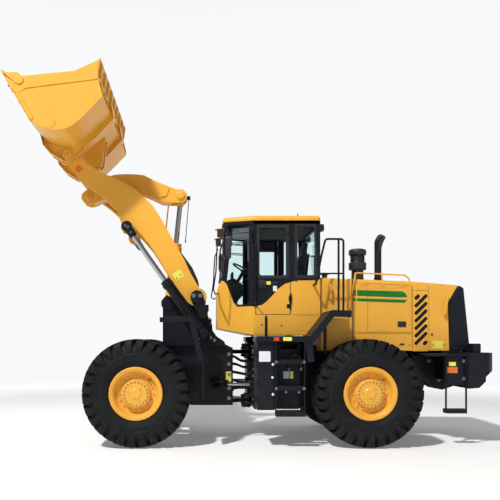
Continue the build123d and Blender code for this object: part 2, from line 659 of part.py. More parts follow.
# =====================================================================
# boom
# =====================================================================
ARM = [
    # upper edge from the tip back to the pivot
    (-2772, 4505), (-2647, 4400), (-2497, 4300), (-2320, 4182), (-2112, 4093), (-1903, 3989), (-1754, 3900), (-1605, 3766),
    (-1516, 3676), (-1457, 3601), (-1382, 3483), (-1307, 3349), (-1174, 3112), (-1010, 2828), (-931, 2653), (-838, 2482),
    (-770, 2372), (-700, 2320), (-662, 2260), (-662, 2200), (-700, 2135), (-760, 2094), (-830, 2088), (-880, 2103),
    # lower edge back to the tip
    (-947, 2150), (-1091, 2342), (-1242, 2559), (-1388, 2802), (-1553, 3057), (-1709, 3244), (-1802, 3340),
    (-1850, 3240), (-1900, 3212), (-1960, 3235), (-1990, 3300), (-1985, 3380), (-2021, 3497), (-2082, 3601), (-2171, 3692), (-2289, 3796),
    (-2558, 3990), (-2700, 4150), (-2850, 4335), (-2890, 4375), (-2905, 4425), (-2890, 4475), (-2850, 4510), (-2812, 4516),
]
with BuildPart() as boom:
    side(ARM, -ARM_OUT, -ARM_IN)
    # boss where the lift rod pins on, short of the rod's eye
    pin_y(LIFT_EYE, 75, -605, -ARM_IN)
    # rocker lug
    side([(-2130, 3700), (-2110, 3900), (-2065, 4050), (-2030, 4130), (-1950, 4160), (-1870, 4130), (-1835, 4050), (-1840, 3900), (-1900, 3700)], -215, -175)
    mirror(about=Plane.XZ)
    # cross tube between the arms
    pin_y((-2010, 3807), 90, -ARM_IN - 10, ARM_IN + 10)
    # rocker pin
    pin_y(ROCKER_PIN, 50, -216, 216)
    # bores for the boom pivot pins and for the bucket pins
    for s in (-1, 1):
        pin_y(BOOM_PIVOT, 45.3, s * 490, s * 590, mode=Mode.SUBTRACT)
        pin_y(BUCKET_PIN, 40.3, s * 490, s * 590, mode=Mode.SUBTRACT)
write(boom.part, "boom")

# =====================================================================
# rocker and link
# =====================================================================
ROCKER = [
    (-2320, 4150), (-2240, 4225), (-2110, 4252), (-1950, 4258), (-1790, 4254), (-1670, 4238), (-1589, 4197), (-1475, 4140),
    (-1248, 4050), (-1120, 4008), (-1040, 4010), (-985, 3965), (-965, 3908), (-985, 3840), (-1036, 3800), (-1200, 3790), (-1378, 3800),
    (-1540, 3880), (-1730, 3960), (-1840, 3980), (-1900, 3945), (-1990, 3935), (-2060, 3960), (-2200, 3900), (-2358, 3835),
    (-2500, 3770), (-2569, 3766), (-2640, 3790), (-2685, 3860), (-2680, 3930), (-2620, 3990), (-2480, 4050),
]
with BuildPart() as rocker:
    side(ROCKER, -135, -85)
    mirror(about=Plane.XZ)
    # hub and webs between the plates
    pin_y(ROCKER_PIN, 105, -160, 160)
    block(-2260, -2140, -90, 90, 3960, 4180)
    block(-1680, -1560, -90, 90, 3950, 4170)
    pin_y(ROCKER_PIN, 50.3, -170, 170, mode=Mode.SUBTRACT)
    # lower pin; at the upper end only stub bosses stand outside the fork
    pin_y(LINK_LOW, 38, -150, 150)
    for s in (-1, 1):
        pin_y(TILT_EYE, 48, s * 134, s * 155)
write(rocker.part, "rocker")

with BuildPart() as link:
    for p in (LINK_LOW, LINK_TOP):
        pin_y(p, 80, -70, 70)
    dx, dz = LINK_TOP[0] - LINK_LOW[0], LINK_TOP[1] - LINK_LOW[1]
    n = (-dz / hypot(dx, dz) * 55, dx / hypot(dx, dz) * 55)
    side([(LINK_LOW[0] + n[0], LINK_LOW[1] + n[1]), (LINK_TOP[0] + n[0], LINK_TOP[1] + n[1]),
          (LINK_TOP[0] - n[0], LINK_TOP[1] - n[1]), (LINK_LOW[0] - n[0], LINK_LOW[1] - n[1])], -60, 60)
    pin_y(LINK_LOW, 38.3, -80, 80, mode=Mode.SUBTRACT)
write(link.part, "bucket_link")

# =====================================================================
# cylinders
# =====================================================================
lift_len = hypot(LIFT_EYE[0] - LIFT_BASE[0], LIFT_EYE[1] - LIFT_BASE[1])
GLAND = 1000.0
with BuildPart() as lift_barrels:
    a, b, g0 = LIFT_BASE, along(LIFT_BASE, LIFT_EYE, GLAND), along(LIFT_BASE, LIFT_EYE, GLAND - 110)
    foot, neck = along(LIFT_BASE, LIFT_EYE, 30), along(LIFT_BASE, LIFT_EYE, 105)
    rod((foot[0], -LIFT_Y, foot[1]), (g0[0], -LIFT_Y, g0[1]), 48)
    rod((neck[0], -LIFT_Y, neck[1]), (g0[0], -LIFT_Y, g0[1]), 72)
    rod((g0[0], -LIFT_Y, g0[1]), (b[0], -LIFT_Y, b[1]), 80)
    pin_y(LIFT_BASE, 88, -735, -628)
    b2 = along(LIFT_BASE, LIFT_EYE, GLAND + 1)
    i2 = along(LIFT_BASE, LIFT_EYE, 130)
    rod((i2[0], -LIFT_Y, i2[1]), (b2[0], -LIFT_Y, b2[1]), 39.5, mode=Mode.SUBTRACT)
    pin_y(LIFT_BASE, 38.3, -800, -600, mode=Mode.SUBTRACT)
    mirror(about=Plane.XZ)
write(lift_barrels.part, "lift_barrels")
with BuildPart() as lift_rods:
    a = along(LIFT_BASE, LIFT_EYE, 860)
    rod((a[0], -LIFT_Y, a[1]), (LIFT_EYE[0], -LIFT_Y, LIFT_EYE[1]), 39)
    n = along(LIFT_EYE, LIFT_BASE, 175)
    rod((n[0], -LIFT_Y, n[1]), (LIFT_EYE[0], -LIFT_Y, LIFT_EYE[1]), 62)
    pin_y(LIFT_EYE, 85, -740, -615)
    mirror(about=Plane.XZ)
write(lift_rods.part, "lift_rods")

tilt_len = hypot(TILT_EYE[0] - TILT_BASE[0], TILT_EYE[1] - TILT_BASE[1])
with BuildPart() as tilt_barrel:
    a, b, g0 = along(TILT_BASE, TILT_EYE, 30), along(TILT_BASE, TILT_EYE, 1010), along(TILT_BASE, TILT_EYE, 880)
    rod((a[0], 0, a[1]), (g0[0], 0, g0[1]), 88)
    rod((g0[0], 0, g0[1]), (b[0], 0, b[1]), 96)
    pin_y(TILT_BASE, 92, -90, 90)
    b2, i2 = along(TILT_BASE, TILT_EYE, 1011), along(TILT_BASE, TILT_EYE, 150)
    rod((i2[0], 0, i2[1]), (b2[0], 0, b2[1]), 43.5, mode=Mode.SUBTRACT)
    pin_y(TILT_BASE, 40.3, -100, 100, mode=Mode.SUBTRACT)
write(tilt_barrel.part, "tilt_barrel")
with BuildPart() as tilt_rod:
    a = along(TILT_BASE, TILT_EYE, 870)
    rod((a[0], 0, a[1]), (TILT_EYE[0], 0, TILT_EYE[1]), 43)
    pin_y(TILT_EYE, 85, -70, 70)
write(tilt_rod.part, "tilt_rod")

for hand, s in (("left", -1), ("right", 1)):
    p, q = (STEER_BASE[0], STEER_BASE[1]), (STEER_EYE[0], STEER_EYE[1])
    z = STEER_BASE[2]
    with BuildPart() as steer_barrel:
        a, b, c = along(p, q, 22), along(p, q, 600), along(p, q, 105)
        rod((a[0], s * a[1], z), (c[0], s * c[1], z), 24)
        rod((c[0], s * c[1], z), (b[0], s * b[1], z), 48)
        g0 = along(p, q, 540)
        rod((g0[0], s * g0[1], z), (b[0], s * b[1], z), 54)
        pin_z(p[0], s * p[1], 48, z - 27, z + 27)
        i2, b2 = along(p, q, 125), along(p, q, 601)
        rod((i2[0], s * i2[1], z), (b2[0], s * b2[1], z), 24.5, mode=Mode.SUBTRACT)
        pin_z(p[0], s * p[1], 25.3, z - 40, z + 40, mode=Mode.SUBTRACT)
    write(steer_barrel.part, f"steering_barrel_{hand}")
    with BuildPart() as steer_rod:
        a = along(p, q, 470)
        rod((a[0], s * a[1], z), (q[0], s * q[1], z), 24)
        pin_z(q[0], s * q[1], 45, z - 26, z + 26)
    write(steer_rod.part, f"steering_rod_{hand}")

# =====================================================================
# bucket
# =====================================================================
F0, H0 = FLOOR_FRONT, (-3154.0, 4666.0)
HEEL = [(-3085, 4612), (-3005, 4578), (-2900, 4552), (-2786, 4545), (-2673, 4560), (-2560, 4612), (-2404, 4752)]
G0, G1, G2 = (-2142, 5022), (-2211, 5263), (-2170, 5560)
OUTER = [F0, H0] + HEEL + [G0, G1, G2]
with BuildPart() as bucket:
    side(strip(OUTER, BUCKET_T), -BUCKET_HALF, BUCKET_HALF)
    # side plates
    plate = [(-3535, 5350), (-3490, 5348), (-3340, 5300), (-3250, 5312), (-2537, 5380), (-2217, 5527)] + \
            [(-2185, 5540), (-2205, 5263), (-2140, 5022)] + [(x, z) for x, z in HEEL[::-1]] + [(-3154, 4666), (-3504, 5272)]
    side(plate, -BUCKET_HALF, -BUCKET_HALF + 25)
    # box section stiffener across the back, under the spill guard
    # hinge ears for the arms
    ear = [(-3230, 4800), (-3170, 4560), (-3056, 4430), (-2925, 4350), (-2880, 4330), (-2815, 4317), (-2750, 4335), (-2705, 4380),
           (-2560, 4560), (-2380, 4776), (-2560, 4640), (-2786, 4560), (-3005, 4590), (-3154, 4690)]
    side(ear, -630, -588)
    side(ear, -492, -455)
    # centre ears for the link
    side([(-2700, 4560), (-2530, 4420), (-2490, 4385), (-2437, 4374), (-2380, 4390), (-2345, 4430), (-2338, 4480), (-2300, 4850), (-2404, 4765), (-2560, 4625)], -125, -85)
    mirror(about=Plane.XZ)
    for s in (-1, 1):
        pin_y(BUCKET_PIN, 40, s * 440, s * 655)
        pin_y(BUCKET_PIN, 62, s * 628, s * 655)
        pin_y(LINK_TOP, 60, s * 124, s * 140)
write(bucket.part, "bucket")



def fp(a, b):
    """Point a along the floor line past its front end and b above it."""
    return (F0[0] + FLOOR_DIR[0] * a + FLOOR_UP[0] * b, F0[1] + FLOOR_DIR[1] * a + FLOOR_UP[1] * b)


with BuildPart() as cutting_edge:
    side([fp(-160, -24), fp(-160, -1), fp(1, -1), fp(95, -1), fp(168, -6), fp(*EDGE_TIP)], -BUCKET_HALF, BUCKET_HALF)
    side([fp(1, -2), fp(1, 26), fp(60, 26), fp(150, -2)], -BUCKET_HALF + 27, BUCKET_HALF - 27)
    # side cutters on the outer faces of the bucket's side plates
    for s in (-1, 1):
        y0, y1 = sorted((s * (BUCKET_HALF + 0.5), s * (BUCKET_HALF + 25)))
        side([fp(96, -2), fp(96, 20), (-3459, 5348), (-3345, 5352), (-3275, 5300), (-3258, 5255), (-3278, 5205), (-3325, 5188), (-3372, 5203),
              (-3436, 5262)], y0, y1)
        y0, y1 = sorted((s * (BUCKET_HALF - 60), s * (BUCKET_HALF + 25)))
        side([fp(96, -2), fp(96, 20), fp(130, 8), fp(130, -2)], y0, y1)
write(cutting_edge.part, "cutting_edge")
print("done")
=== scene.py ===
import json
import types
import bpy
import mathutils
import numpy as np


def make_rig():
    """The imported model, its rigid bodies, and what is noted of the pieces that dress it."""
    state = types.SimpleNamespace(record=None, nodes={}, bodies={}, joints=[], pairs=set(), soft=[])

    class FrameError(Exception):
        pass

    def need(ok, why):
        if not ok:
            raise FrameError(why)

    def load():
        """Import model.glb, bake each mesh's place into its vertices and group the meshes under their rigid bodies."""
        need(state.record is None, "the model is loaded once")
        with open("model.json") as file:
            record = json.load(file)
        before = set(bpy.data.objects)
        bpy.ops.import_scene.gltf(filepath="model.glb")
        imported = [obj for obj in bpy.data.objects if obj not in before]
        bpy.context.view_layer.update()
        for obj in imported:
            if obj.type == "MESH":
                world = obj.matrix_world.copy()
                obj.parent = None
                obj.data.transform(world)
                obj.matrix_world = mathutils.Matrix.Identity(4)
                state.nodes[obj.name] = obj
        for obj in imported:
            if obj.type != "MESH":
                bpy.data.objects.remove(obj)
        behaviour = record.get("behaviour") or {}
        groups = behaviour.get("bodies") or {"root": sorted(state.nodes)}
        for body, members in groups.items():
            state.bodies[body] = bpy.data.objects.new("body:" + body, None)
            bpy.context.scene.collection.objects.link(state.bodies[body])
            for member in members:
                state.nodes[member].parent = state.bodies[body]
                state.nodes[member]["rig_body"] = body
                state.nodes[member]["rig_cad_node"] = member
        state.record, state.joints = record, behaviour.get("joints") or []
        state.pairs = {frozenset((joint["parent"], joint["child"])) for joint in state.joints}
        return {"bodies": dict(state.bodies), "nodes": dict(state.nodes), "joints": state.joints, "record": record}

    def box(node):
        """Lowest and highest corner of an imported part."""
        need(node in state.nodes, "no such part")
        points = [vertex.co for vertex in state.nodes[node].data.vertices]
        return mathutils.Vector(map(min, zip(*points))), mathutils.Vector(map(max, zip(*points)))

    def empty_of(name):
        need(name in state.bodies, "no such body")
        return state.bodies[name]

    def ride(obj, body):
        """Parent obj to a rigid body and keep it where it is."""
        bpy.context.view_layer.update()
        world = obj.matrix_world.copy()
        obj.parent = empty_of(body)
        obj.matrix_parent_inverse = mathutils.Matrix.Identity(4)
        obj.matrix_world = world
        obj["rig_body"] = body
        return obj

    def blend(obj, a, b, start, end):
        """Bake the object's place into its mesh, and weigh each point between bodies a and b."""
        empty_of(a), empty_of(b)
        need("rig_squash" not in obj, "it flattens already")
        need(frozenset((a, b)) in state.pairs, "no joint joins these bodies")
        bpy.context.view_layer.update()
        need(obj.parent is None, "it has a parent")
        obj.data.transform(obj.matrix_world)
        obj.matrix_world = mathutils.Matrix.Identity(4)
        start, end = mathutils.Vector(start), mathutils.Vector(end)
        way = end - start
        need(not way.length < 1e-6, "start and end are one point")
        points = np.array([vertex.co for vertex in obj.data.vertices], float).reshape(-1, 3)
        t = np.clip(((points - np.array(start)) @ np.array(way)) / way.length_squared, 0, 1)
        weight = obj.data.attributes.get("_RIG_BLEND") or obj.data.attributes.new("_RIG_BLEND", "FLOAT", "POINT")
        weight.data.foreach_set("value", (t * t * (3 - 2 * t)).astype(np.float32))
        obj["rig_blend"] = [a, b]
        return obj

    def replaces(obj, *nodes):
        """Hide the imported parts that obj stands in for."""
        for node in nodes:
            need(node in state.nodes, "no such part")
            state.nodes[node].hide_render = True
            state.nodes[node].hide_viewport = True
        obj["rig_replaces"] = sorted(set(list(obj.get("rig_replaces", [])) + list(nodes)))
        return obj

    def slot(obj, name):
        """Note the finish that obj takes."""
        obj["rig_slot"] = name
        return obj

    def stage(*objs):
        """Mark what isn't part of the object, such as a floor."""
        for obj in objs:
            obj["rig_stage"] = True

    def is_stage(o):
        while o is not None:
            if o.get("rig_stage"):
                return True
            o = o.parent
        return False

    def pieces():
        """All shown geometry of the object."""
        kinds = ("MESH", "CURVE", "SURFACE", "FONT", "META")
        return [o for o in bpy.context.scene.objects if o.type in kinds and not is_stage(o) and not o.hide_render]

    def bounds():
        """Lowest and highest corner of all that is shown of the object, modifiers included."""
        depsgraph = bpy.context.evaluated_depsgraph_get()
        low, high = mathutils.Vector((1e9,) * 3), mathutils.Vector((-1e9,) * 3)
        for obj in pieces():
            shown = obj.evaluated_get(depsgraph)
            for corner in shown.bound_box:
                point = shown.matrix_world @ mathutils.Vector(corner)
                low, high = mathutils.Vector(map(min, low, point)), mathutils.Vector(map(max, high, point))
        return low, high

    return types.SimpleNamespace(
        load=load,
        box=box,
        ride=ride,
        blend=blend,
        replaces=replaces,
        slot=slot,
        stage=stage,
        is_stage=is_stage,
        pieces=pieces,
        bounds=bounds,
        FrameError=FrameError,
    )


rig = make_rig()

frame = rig.load()
import bpy
import bmesh
import json
from math import sin, cos, tan, pi, radians, degrees, hypot, atan2, sqrt, exp
from mathutils import Vector, Matrix, noise
from mathutils.geometry import tessellate_polygon

# Articulated wheel loader, in metres: +Z up, the bucket end faces -X, the left side faces -Y.
CAD_LO, CAD_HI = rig.bounds()
NODES = frame["nodes"]


def at(px, py, y):
    """X and Z of the point on the plane Y = y that the camera sees at a place of the 500 x 500 picture."""
    d = y + 10.7
    return (-0.76 + (px - 200) * d / 651, 1.564 + (340 - py) * d / 651)


# =====================================================================
# materials
# =====================================================================
class Nodes:
    def __init__(self, name):
        self.m = bpy.data.materials.new(name)
        self.m.use_nodes = True
        self.t = self.m.node_tree
        self.t.nodes.clear()
        self.out = self.t.nodes.new("ShaderNodeOutputMaterial")
        self.b = self.t.nodes.new("ShaderNodeBsdfPrincipled")
        self.t.links.new(self.b.outputs[0], self.out.inputs[0])
        self.co = self.t.nodes.new("ShaderNodeTexCoord").outputs["Object"]

    def new(self, kind, **kw):
        n = self.t.nodes.new(kind)
        for k, v in kw.items():
            setattr(n, k, v)
        return n

    def link(self, a, b):
        self.t.links.new(a, b)

    def put(self, **kw):
        for k, v in kw.items():
            self.b.inputs[k.replace("_", " ")].default_value = v

    def noise(self, scale, detail=3.0, rough=0.5, stretch=None):
        n = self.new("ShaderNodeTexNoise")
        n.inputs["Scale"].default_value = scale
        n.inputs["Detail"].default_value = detail
        n.inputs["Roughness"].default_value = rough
        if stretch:
            mp = self.new("ShaderNodeMapping")
            mp.inputs["Scale"].default_value = stretch
            self.link(self.co, mp.inputs["Vector"])
            self.link(mp.outputs[0], n.inputs["Vector"])
        else:
            self.link(self.co, n.inputs["Vector"])
        return n.outputs["Fac"]

    def range(self, v, a, b, c=0.0, d=1.0, smooth=True):
        n = self.new("ShaderNodeMapRange")
        n.interpolation_type = "SMOOTHSTEP" if smooth else "LINEAR"
        n.inputs["From Min"].default_value = a
        n.inputs["From Max"].default_value = b
        n.inputs["To Min"].default_value = c
        n.inputs["To Max"].default_value = d
        self.link(v, n.inputs["Value"])
        return n.outputs[0]

    def math(self, op, a, b=None, clamp=False):
        n = self.new("ShaderNodeMath", operation=op, use_clamp=clamp)
        for i, v in enumerate((a, b)):
            if v is None:
                continue
            if isinstance(v, (int, float)):
                n.inputs[i].default_value = v
            else:
                self.link(v, n.inputs[i])
        return n.outputs[0]

    def mix(self, f, a, b):
        n = self.new("ShaderNodeMix", data_type="RGBA")
        for i, v in ((0, f), (6, a), (7, b)):
            if isinstance(v, (int, float)):
                n.inputs[i].default_value = v
            elif isinstance(v, tuple):
                n.inputs[i].default_value = (*v, 1.0)
            else:
                self.link(v, n.inputs[i])
        return n.outputs[2]

    def bump(self, h, strength, dist=0.001):
        n = self.new("ShaderNodeBump")
        n.inputs["Strength"].default_value = strength
        n.inputs["Distance"].default_value = dist
        self.link(h, n.inputs["Height"])
        self.link(n.outputs[0], self.b.inputs["Normal"])
        return n

    def edges(self, radius=0.010, lo=0.03, hi=0.30):
        """1 along the outer edges of the shape, 0 on its faces."""
        bv = self.new("ShaderNodeBevel", samples=4)
        bv.inputs["Radius"].default_value = radius
        geo = self.new("ShaderNodeNewGeometry")
        dot = self.new("ShaderNodeVectorMath", operation="DOT_PRODUCT")
        self.link(bv.outputs[0], dot.inputs[0])
        self.link(geo.outputs["Normal"], dot.inputs[1])
        return self.range(self.math("SUBTRACT", 1.0, dot.outputs["Value"]), lo, hi)

    def up(self, a=0.3, b=0.95):
        geo = self.new("ShaderNodeNewGeometry")
        sep = self.new("ShaderNodeSeparateXYZ")
        self.link(geo.outputs["Normal"], sep.inputs[0])
        return self.range(sep.outputs["Z"], a, b)

    def height(self, a, b):
        sep = self.new("ShaderNodeSeparateXYZ")
        self.link(self.co, sep.inputs[0])
        return self.range(sep.outputs["Z"], a, b)


def lin(h):
    """Linear colour of a hex colour."""
    out = []
    for i in (0, 2, 4):
        c = int(h[i:i + 2], 16) / 255
        out.append(c / 12.92 if c <= 0.04045 else ((c + 0.055) / 1.055) ** 2.4)
    return tuple(out)


def tint(c, k):
    return tuple(min(1.0, v * k) for v in c)


def paint(name, rgb, rough=0.36, coat=0.4, dust=0.16, wear=0.35, worn=(0.10, 0.095, 0.09), grime=(0.20, 0.155, 0.10), peel=0.10, low=1.3, spec=0.5):
    """Sprayed machine paint: slight tone changes, orange peel, dust low down and on ledges, edges rubbed a little."""
    n = Nodes(name)
    big, mid, fine = n.noise(1.1, 5.0), n.noise(9.0, 6.0, 0.6), n.noise(260.0, 2.0)
    col = n.mix(n.range(big, 0.3, 0.7), tint(rgb, 0.94), tint(rgb, 1.03))
    streak = n.noise(3.0, 6.0, 0.65, stretch=(5.0, 5.0, 0.35))
    lowz = n.height(low, 0.15)
    d = n.math("MULTIPLY", n.range(mid, 0.35, 0.75), n.math("ADD", n.math("MULTIPLY", lowz, 0.9), n.math("MULTIPLY", n.up(), 0.55)))
    d = n.math("ADD", d, n.math("MULTIPLY", n.range(streak, 0.52, 0.80), 0.35))
    d = n.math("MULTIPLY", d, dust, clamp=True)
    col = n.mix(d, col, grime)
    w = n.math("MULTIPLY", n.edges(), n.range(n.noise(34.0, 5.0, 0.7), 0.50, 0.66))
    w = n.math("MULTIPLY", w, wear, clamp=True)
    col = n.mix(w, col, worn)
    n.link(col, n.b.inputs["Base Color"])
    r = n.math("ADD", n.range(fine, 0.3, 0.7, rough - 0.04, rough + 0.05), n.math("MULTIPLY", d, 0.9))
    n.link(n.math("ADD", r, n.math("MULTIPLY", w, 0.15), clamp=True), n.b.inputs["Roughness"])
    n.put(Coat_Weight=coat, Coat_Roughness=0.16, IOR=1.5, Specular_IOR_Level=spec)
    n.bump(fine, peel, 0.0006)
    return n.m


YELLOW_RGB = lin("E9AB3A")
YELLOW = paint("paint_yellow", YELLOW_RGB, rough=0.42, coat=0.15, spec=0.35)
DARK = paint("paint_dark_grey", lin("11151E"), rough=0.46, coat=0.03, dust=0.30, worn=(0.10, 0.10, 0.105), wear=0.45, grime=(0.05, 0.046, 0.043), spec=0.22)
BLACK = paint("paint_black", lin("0F131B"), rough=0.44, coat=0.04, dust=0.25, worn=(0.10, 0.10, 0.10), wear=0.40, grime=(0.045, 0.042, 0.04), spec=0.22)
GREEN = paint("paint_green", lin("04701C"), rough=0.36, coat=0.15, dust=0.10, spec=0.35)


def metal(name, rgb, rough, streaks=(1, 1, 1), amount=0.05, dirt=0.0):
    n = Nodes(name)
    fine = n.noise(120.0, 4.0, 0.6, stretch=streaks)
    big = n.noise(6.0, 5.0)
    col = n.mix(n.range(fine, 0.35, 0.65), tint(rgb, 0.93), rgb)
    if dirt:
        col = n.mix(n.math("MULTIPLY", n.range(big, 0.45, 0.7), dirt), col, (0.10, 0.085, 0.07))
    n.link(col, n.b.inputs["Base Color"])
    n.put(Metallic=1.0)
    n.link(n.range(fine, 0.3, 0.7, max(0.02, rough - amount), rough + amount), n.b.inputs["Roughness"])
    n.bump(fine, 0.06, 0.0003)
    return n.m


CHROME = metal("chrome_rod", (0.46, 0.48, 0.53), 0.20, streaks=(1, 1, 6), amount=0.04)
ZINC = metal("zinc_bolt", (0.30, 0.30, 0.31), 0.38, dirt=0.3)
STEEL = metal("bare_steel", (0.30, 0.29, 0.28), 0.38, dirt=0.5)


def dull(name, rgb, rough, scale=180.0, strength=0.25, dist=0.0008, dust=0.10, sheen=0.0):
    """Moulded plastic, rubber, cast iron: grain with a little dust."""
    n = Nodes(name)
    grain, mid = n.noise(scale, 4.0, 0.6), n.noise(7.0, 5.0)
    d = n.math("MULTIPLY", n.math("MULTIPLY", n.range(mid, 0.4, 0.75), n.math("ADD", n.up(), 0.3)), dust, clamp=True)
    col = n.mix(n.range(grain, 0.3, 0.7), tint(rgb, 0.85), tint(rgb, 1.12))
    n.link(n.mix(d, col, (0.22, 0.19, 0.15)), n.b.inputs["Base Color"])
    n.link(n.range(mid, 0.3, 0.7, rough - 0.05, min(1.0, rough + 0.08)), n.b.inputs["Roughness"])
    if sheen:
        n.put(Sheen_Weight=sheen)
    n.bump(grain, strength, dist)
    return n.m


PLASTIC = dull("moulded_plastic_black", (0.017, 0.018, 0.021), 0.46)
SEAL = dull("window_seal", (0.008, 0.008, 0.009), 0.62, dust=0.05)
HOSE = dull("hydraulic_hose", (0.012, 0.012, 0.013), 0.50, scale=420.0, strength=0.4)
CAST = dull("cast_iron_black", (0.022, 0.023, 0.026), 0.62, scale=90.0, strength=0.5, dist=0.0015, dust=0.2)
# near-black fill: painted shade inside the louvre openings and on the hood's top slots
SHADE_FILL = dull("inner_shadow", (0.004, 0.004, 0.005), 0.85, dust=0.03)


def tyre_rubber():
    n = Nodes("tyre_rubber")
    grain, mid, big = n.noise(140.0, 5.0, 0.65), n.noise(11.0, 6.0, 0.6), n.noise(2.3, 4.0)
    col = n.mix(n.range(big, 0.3, 0.7), (0.0070, 0.0080, 0.0098), (0.0105, 0.0118, 0.0142))
    low = n.height(0.9, 0.0)
    d = n.math("MULTIPLY", n.range(mid, 0.42, 0.78), n.math("ADD", n.math("MULTIPLY", low, 0.30), 0.10))
    e = n.math("MULTIPLY", n.edges(0.016, 0.02, 0.22), 0.35)
    d = n.math("ADD", d, n.math("MULTIPLY", e, n.range(mid, 0.3, 0.7)), clamp=True)
    col = n.mix(d, col, (0.050, 0.048, 0.047))
    n.link(col, n.b.inputs["Base Color"])
    n.link(n.range(mid, 0.3, 0.7, 0.56, 0.74), n.b.inputs["Roughness"])
    n.put(IOR=1.45, Specular_IOR_Level=0.18)
    n.bump(grain, 0.35, 0.0012)
    return n.m


RUBBER = tyre_rubber()


def glass(name, tintcol, alpha_rough=0.0):
    n = Nodes(name)
    smear = n.noise(5.0, 5.0, 0.6)
    n.put(Transmission_Weight=1.0, IOR=1.12, Specular_IOR_Level=0.9)
    n.b.inputs["Base Color"].default_value = (*tintcol, 1.0)
    n.link(n.range(smear, 0.45, 0.8, 0.0, 0.035), n.b.inputs["Roughness"])
    return n.m


GLASS = glass("cab_glass", (0.83, 0.945, 0.945))
LENS = glass("lamp_lens", (0.93, 0.95, 0.96))


def lamp_reflector():
    n = Nodes("lamp_reflector")
    v = n.noise(60.0, 2.0)
    n.link(n.mix(n.range(v, 0.3, 0.7), (0.75, 0.76, 0.78), (0.9, 0.9, 0.92)), n.b.inputs["Base Color"])
    n.put(Metallic=1.0, Roughness=0.18)
    n.bump(v, 0.2, 0.002)
    return n.m


REFLECT = lamp_reflector()


def mirror_glass():
    n = Nodes("mirror_face")
    v = n.noise(4.0, 4.0)
    n.link(n.range(v, 0.4, 0.8, 0.02, 0.10), n.b.inputs["Roughness"])
    n.link(n.mix(n.range(v, 0.3, 0.7), (0.80, 0.83, 0.85), (0.86, 0.88, 0.9)), n.b.inputs["Base Color"])
    n.put(Metallic=1.0)
    return n.m


MIRROR = mirror_glass()


def foil(name, rgb):
    """Printed film: a colour patch with slightly uneven print and a satin face."""
    n = Nodes(name)
    v, g = n.noise(30.0, 4.0), n.noise(300.0, 2.0)
    n.link(n.mix(n.range(v, 0.35, 0.7), tint(rgb, 0.90), rgb), n.b.inputs["Base Color"])
    n.link(n.range(v, 0.3, 0.7, 0.32, 0.46), n.b.inputs["Roughness"])
    n.bump(g, 0.1, 0.0003)
    return n.m


FOIL_YELLOW = foil("film_light_yellow", (0.86, 0.80, 0.10))
FOIL_ORANGE = foil("film_orange", (0.82, 0.16, 0.02))
FOIL_RED = foil("film_red", (0.72, 0.04, 0.02))
FOIL_WHITE = foil("film_white", (0.80, 0.81, 0.84))
FOIL_BLUE = foil("film_pale_blue", (0.42, 0.60, 0.80))
FOIL_BLACK = foil("film_black", (0.01, 0.01, 0.012))


def seat_cloth():
    n = Nodes("seat_cloth")
    wave = n.new("ShaderNodeTexWave", wave_type="BANDS", bands_direction="DIAGONAL")
    wave.inputs["Scale"].default_value = 160.0
    wave.inputs["Distortion"].default_value = 1.5
    n.link(n.co, wave.inputs["Vector"])
    grain, big = n.noise(500.0, 2.0), n.noise(8.0, 4.0)
    col = n.mix(wave.outputs["Fac"], (0.018, 0.022, 0.026), (0.040, 0.047, 0.053))
    n.link(n.mix(n.range(big, 0.3, 0.7), col, (0.05, 0.055, 0.06)), n.b.inputs["Base Color"])
    n.link(n.range(grain, 0.3, 0.7, 0.80, 0.95), n.b.inputs["Roughness"])
    n.put(Sheen_Weight=0.35)
    n.bump(n.math("ADD", wave.outputs["Fac"], grain), 0.5, 0.0012)
    return n.m


CLOTH = seat_cloth()


# =====================================================================
# shapes
# =====================================================================
def frame_of(d):
    """Two unit vectors square to d."""
    d = Vector(d).normalized()
    a = Vector((0, 0, 1)) if abs(d.z) < 0.9 else Vector((1, 0, 0))
    u = d.cross(a).normalized()
    return u, d.cross(u).normalized()


def arc_path(pts, bend, seg=6):
    """Polyline with its corners rounded by arcs of the bend radius."""
    pts = [Vector(p) for p in pts]
    out = [pts[0]]
    for i in range(1, len(pts) - 1):
        p, a, b = pts[i], pts[i - 1], pts[i + 1]
        u, v = (a - p).normalized(), (b - p).normalized()
        ang = u.angle(v, 0.0)
        if ang > radians(176) or bend <= 0:
            out.append(p)
            continue
        t = min(bend / tan(ang / 2), (a - p).length * 0.48, (b - p).length * 0.48)
        r = t * tan(ang / 2)
        c = p + (u + v).normalized() * (r / sin(ang / 2))
        s, e = p + u * t - c, p + v * t - c
        tot = s.angle(e, 0.0)
        ax = s.cross(e).normalized()
        for k in range(seg + 1):
            out.append(c + Matrix.Rotation(tot * k / seg, 3, ax) @ s)
    out.append(pts[-1])
    return out


def rounded(pts, r, seg=4):
    """Closed 2-D outline with its corners rounded; r is one radius or one per corner."""
    n = len(pts)
    out = []
    for i in range(n):
        p, a, b = Vector(pts[i]), Vector(pts[i - 1]), Vector(pts[(i + 1) % n])
        rad = r[i] if isinstance(r, (list, tuple)) else r
        u, v = (a - p), (b - p)
        lu, lv = u.length, v.length
        if rad <= 0 or lu < 1e-9 or lv < 1e-9:
            out.append(tuple(p))
            continue
        u, v = u / lu, v / lv
        ang = atan2(abs(u.x * v.y - u.y * v.x), u.dot(v))
        if ang > radians(178) or ang < radians(1):
            out.append(tuple(p))
            continue
        t = min(rad / tan(ang / 2), lu * 0.48, lv * 0.48)
        rr = t * tan(ang / 2)
        c = p + (u + v).normalized() * (rr / sin(ang / 2))
        s, e = p + u * t - c, p + v * t - c
        a0, a1 = atan2(s.y, s.x), atan2(e.y, e.x)
        da = (a1 - a0 + pi) % (2 * pi) - pi
        for k in range(seg + 1):
            th = a0 + da * k / seg
            out.append((c.x + rr * cos(th), c.y + rr * sin(th)))
    return out


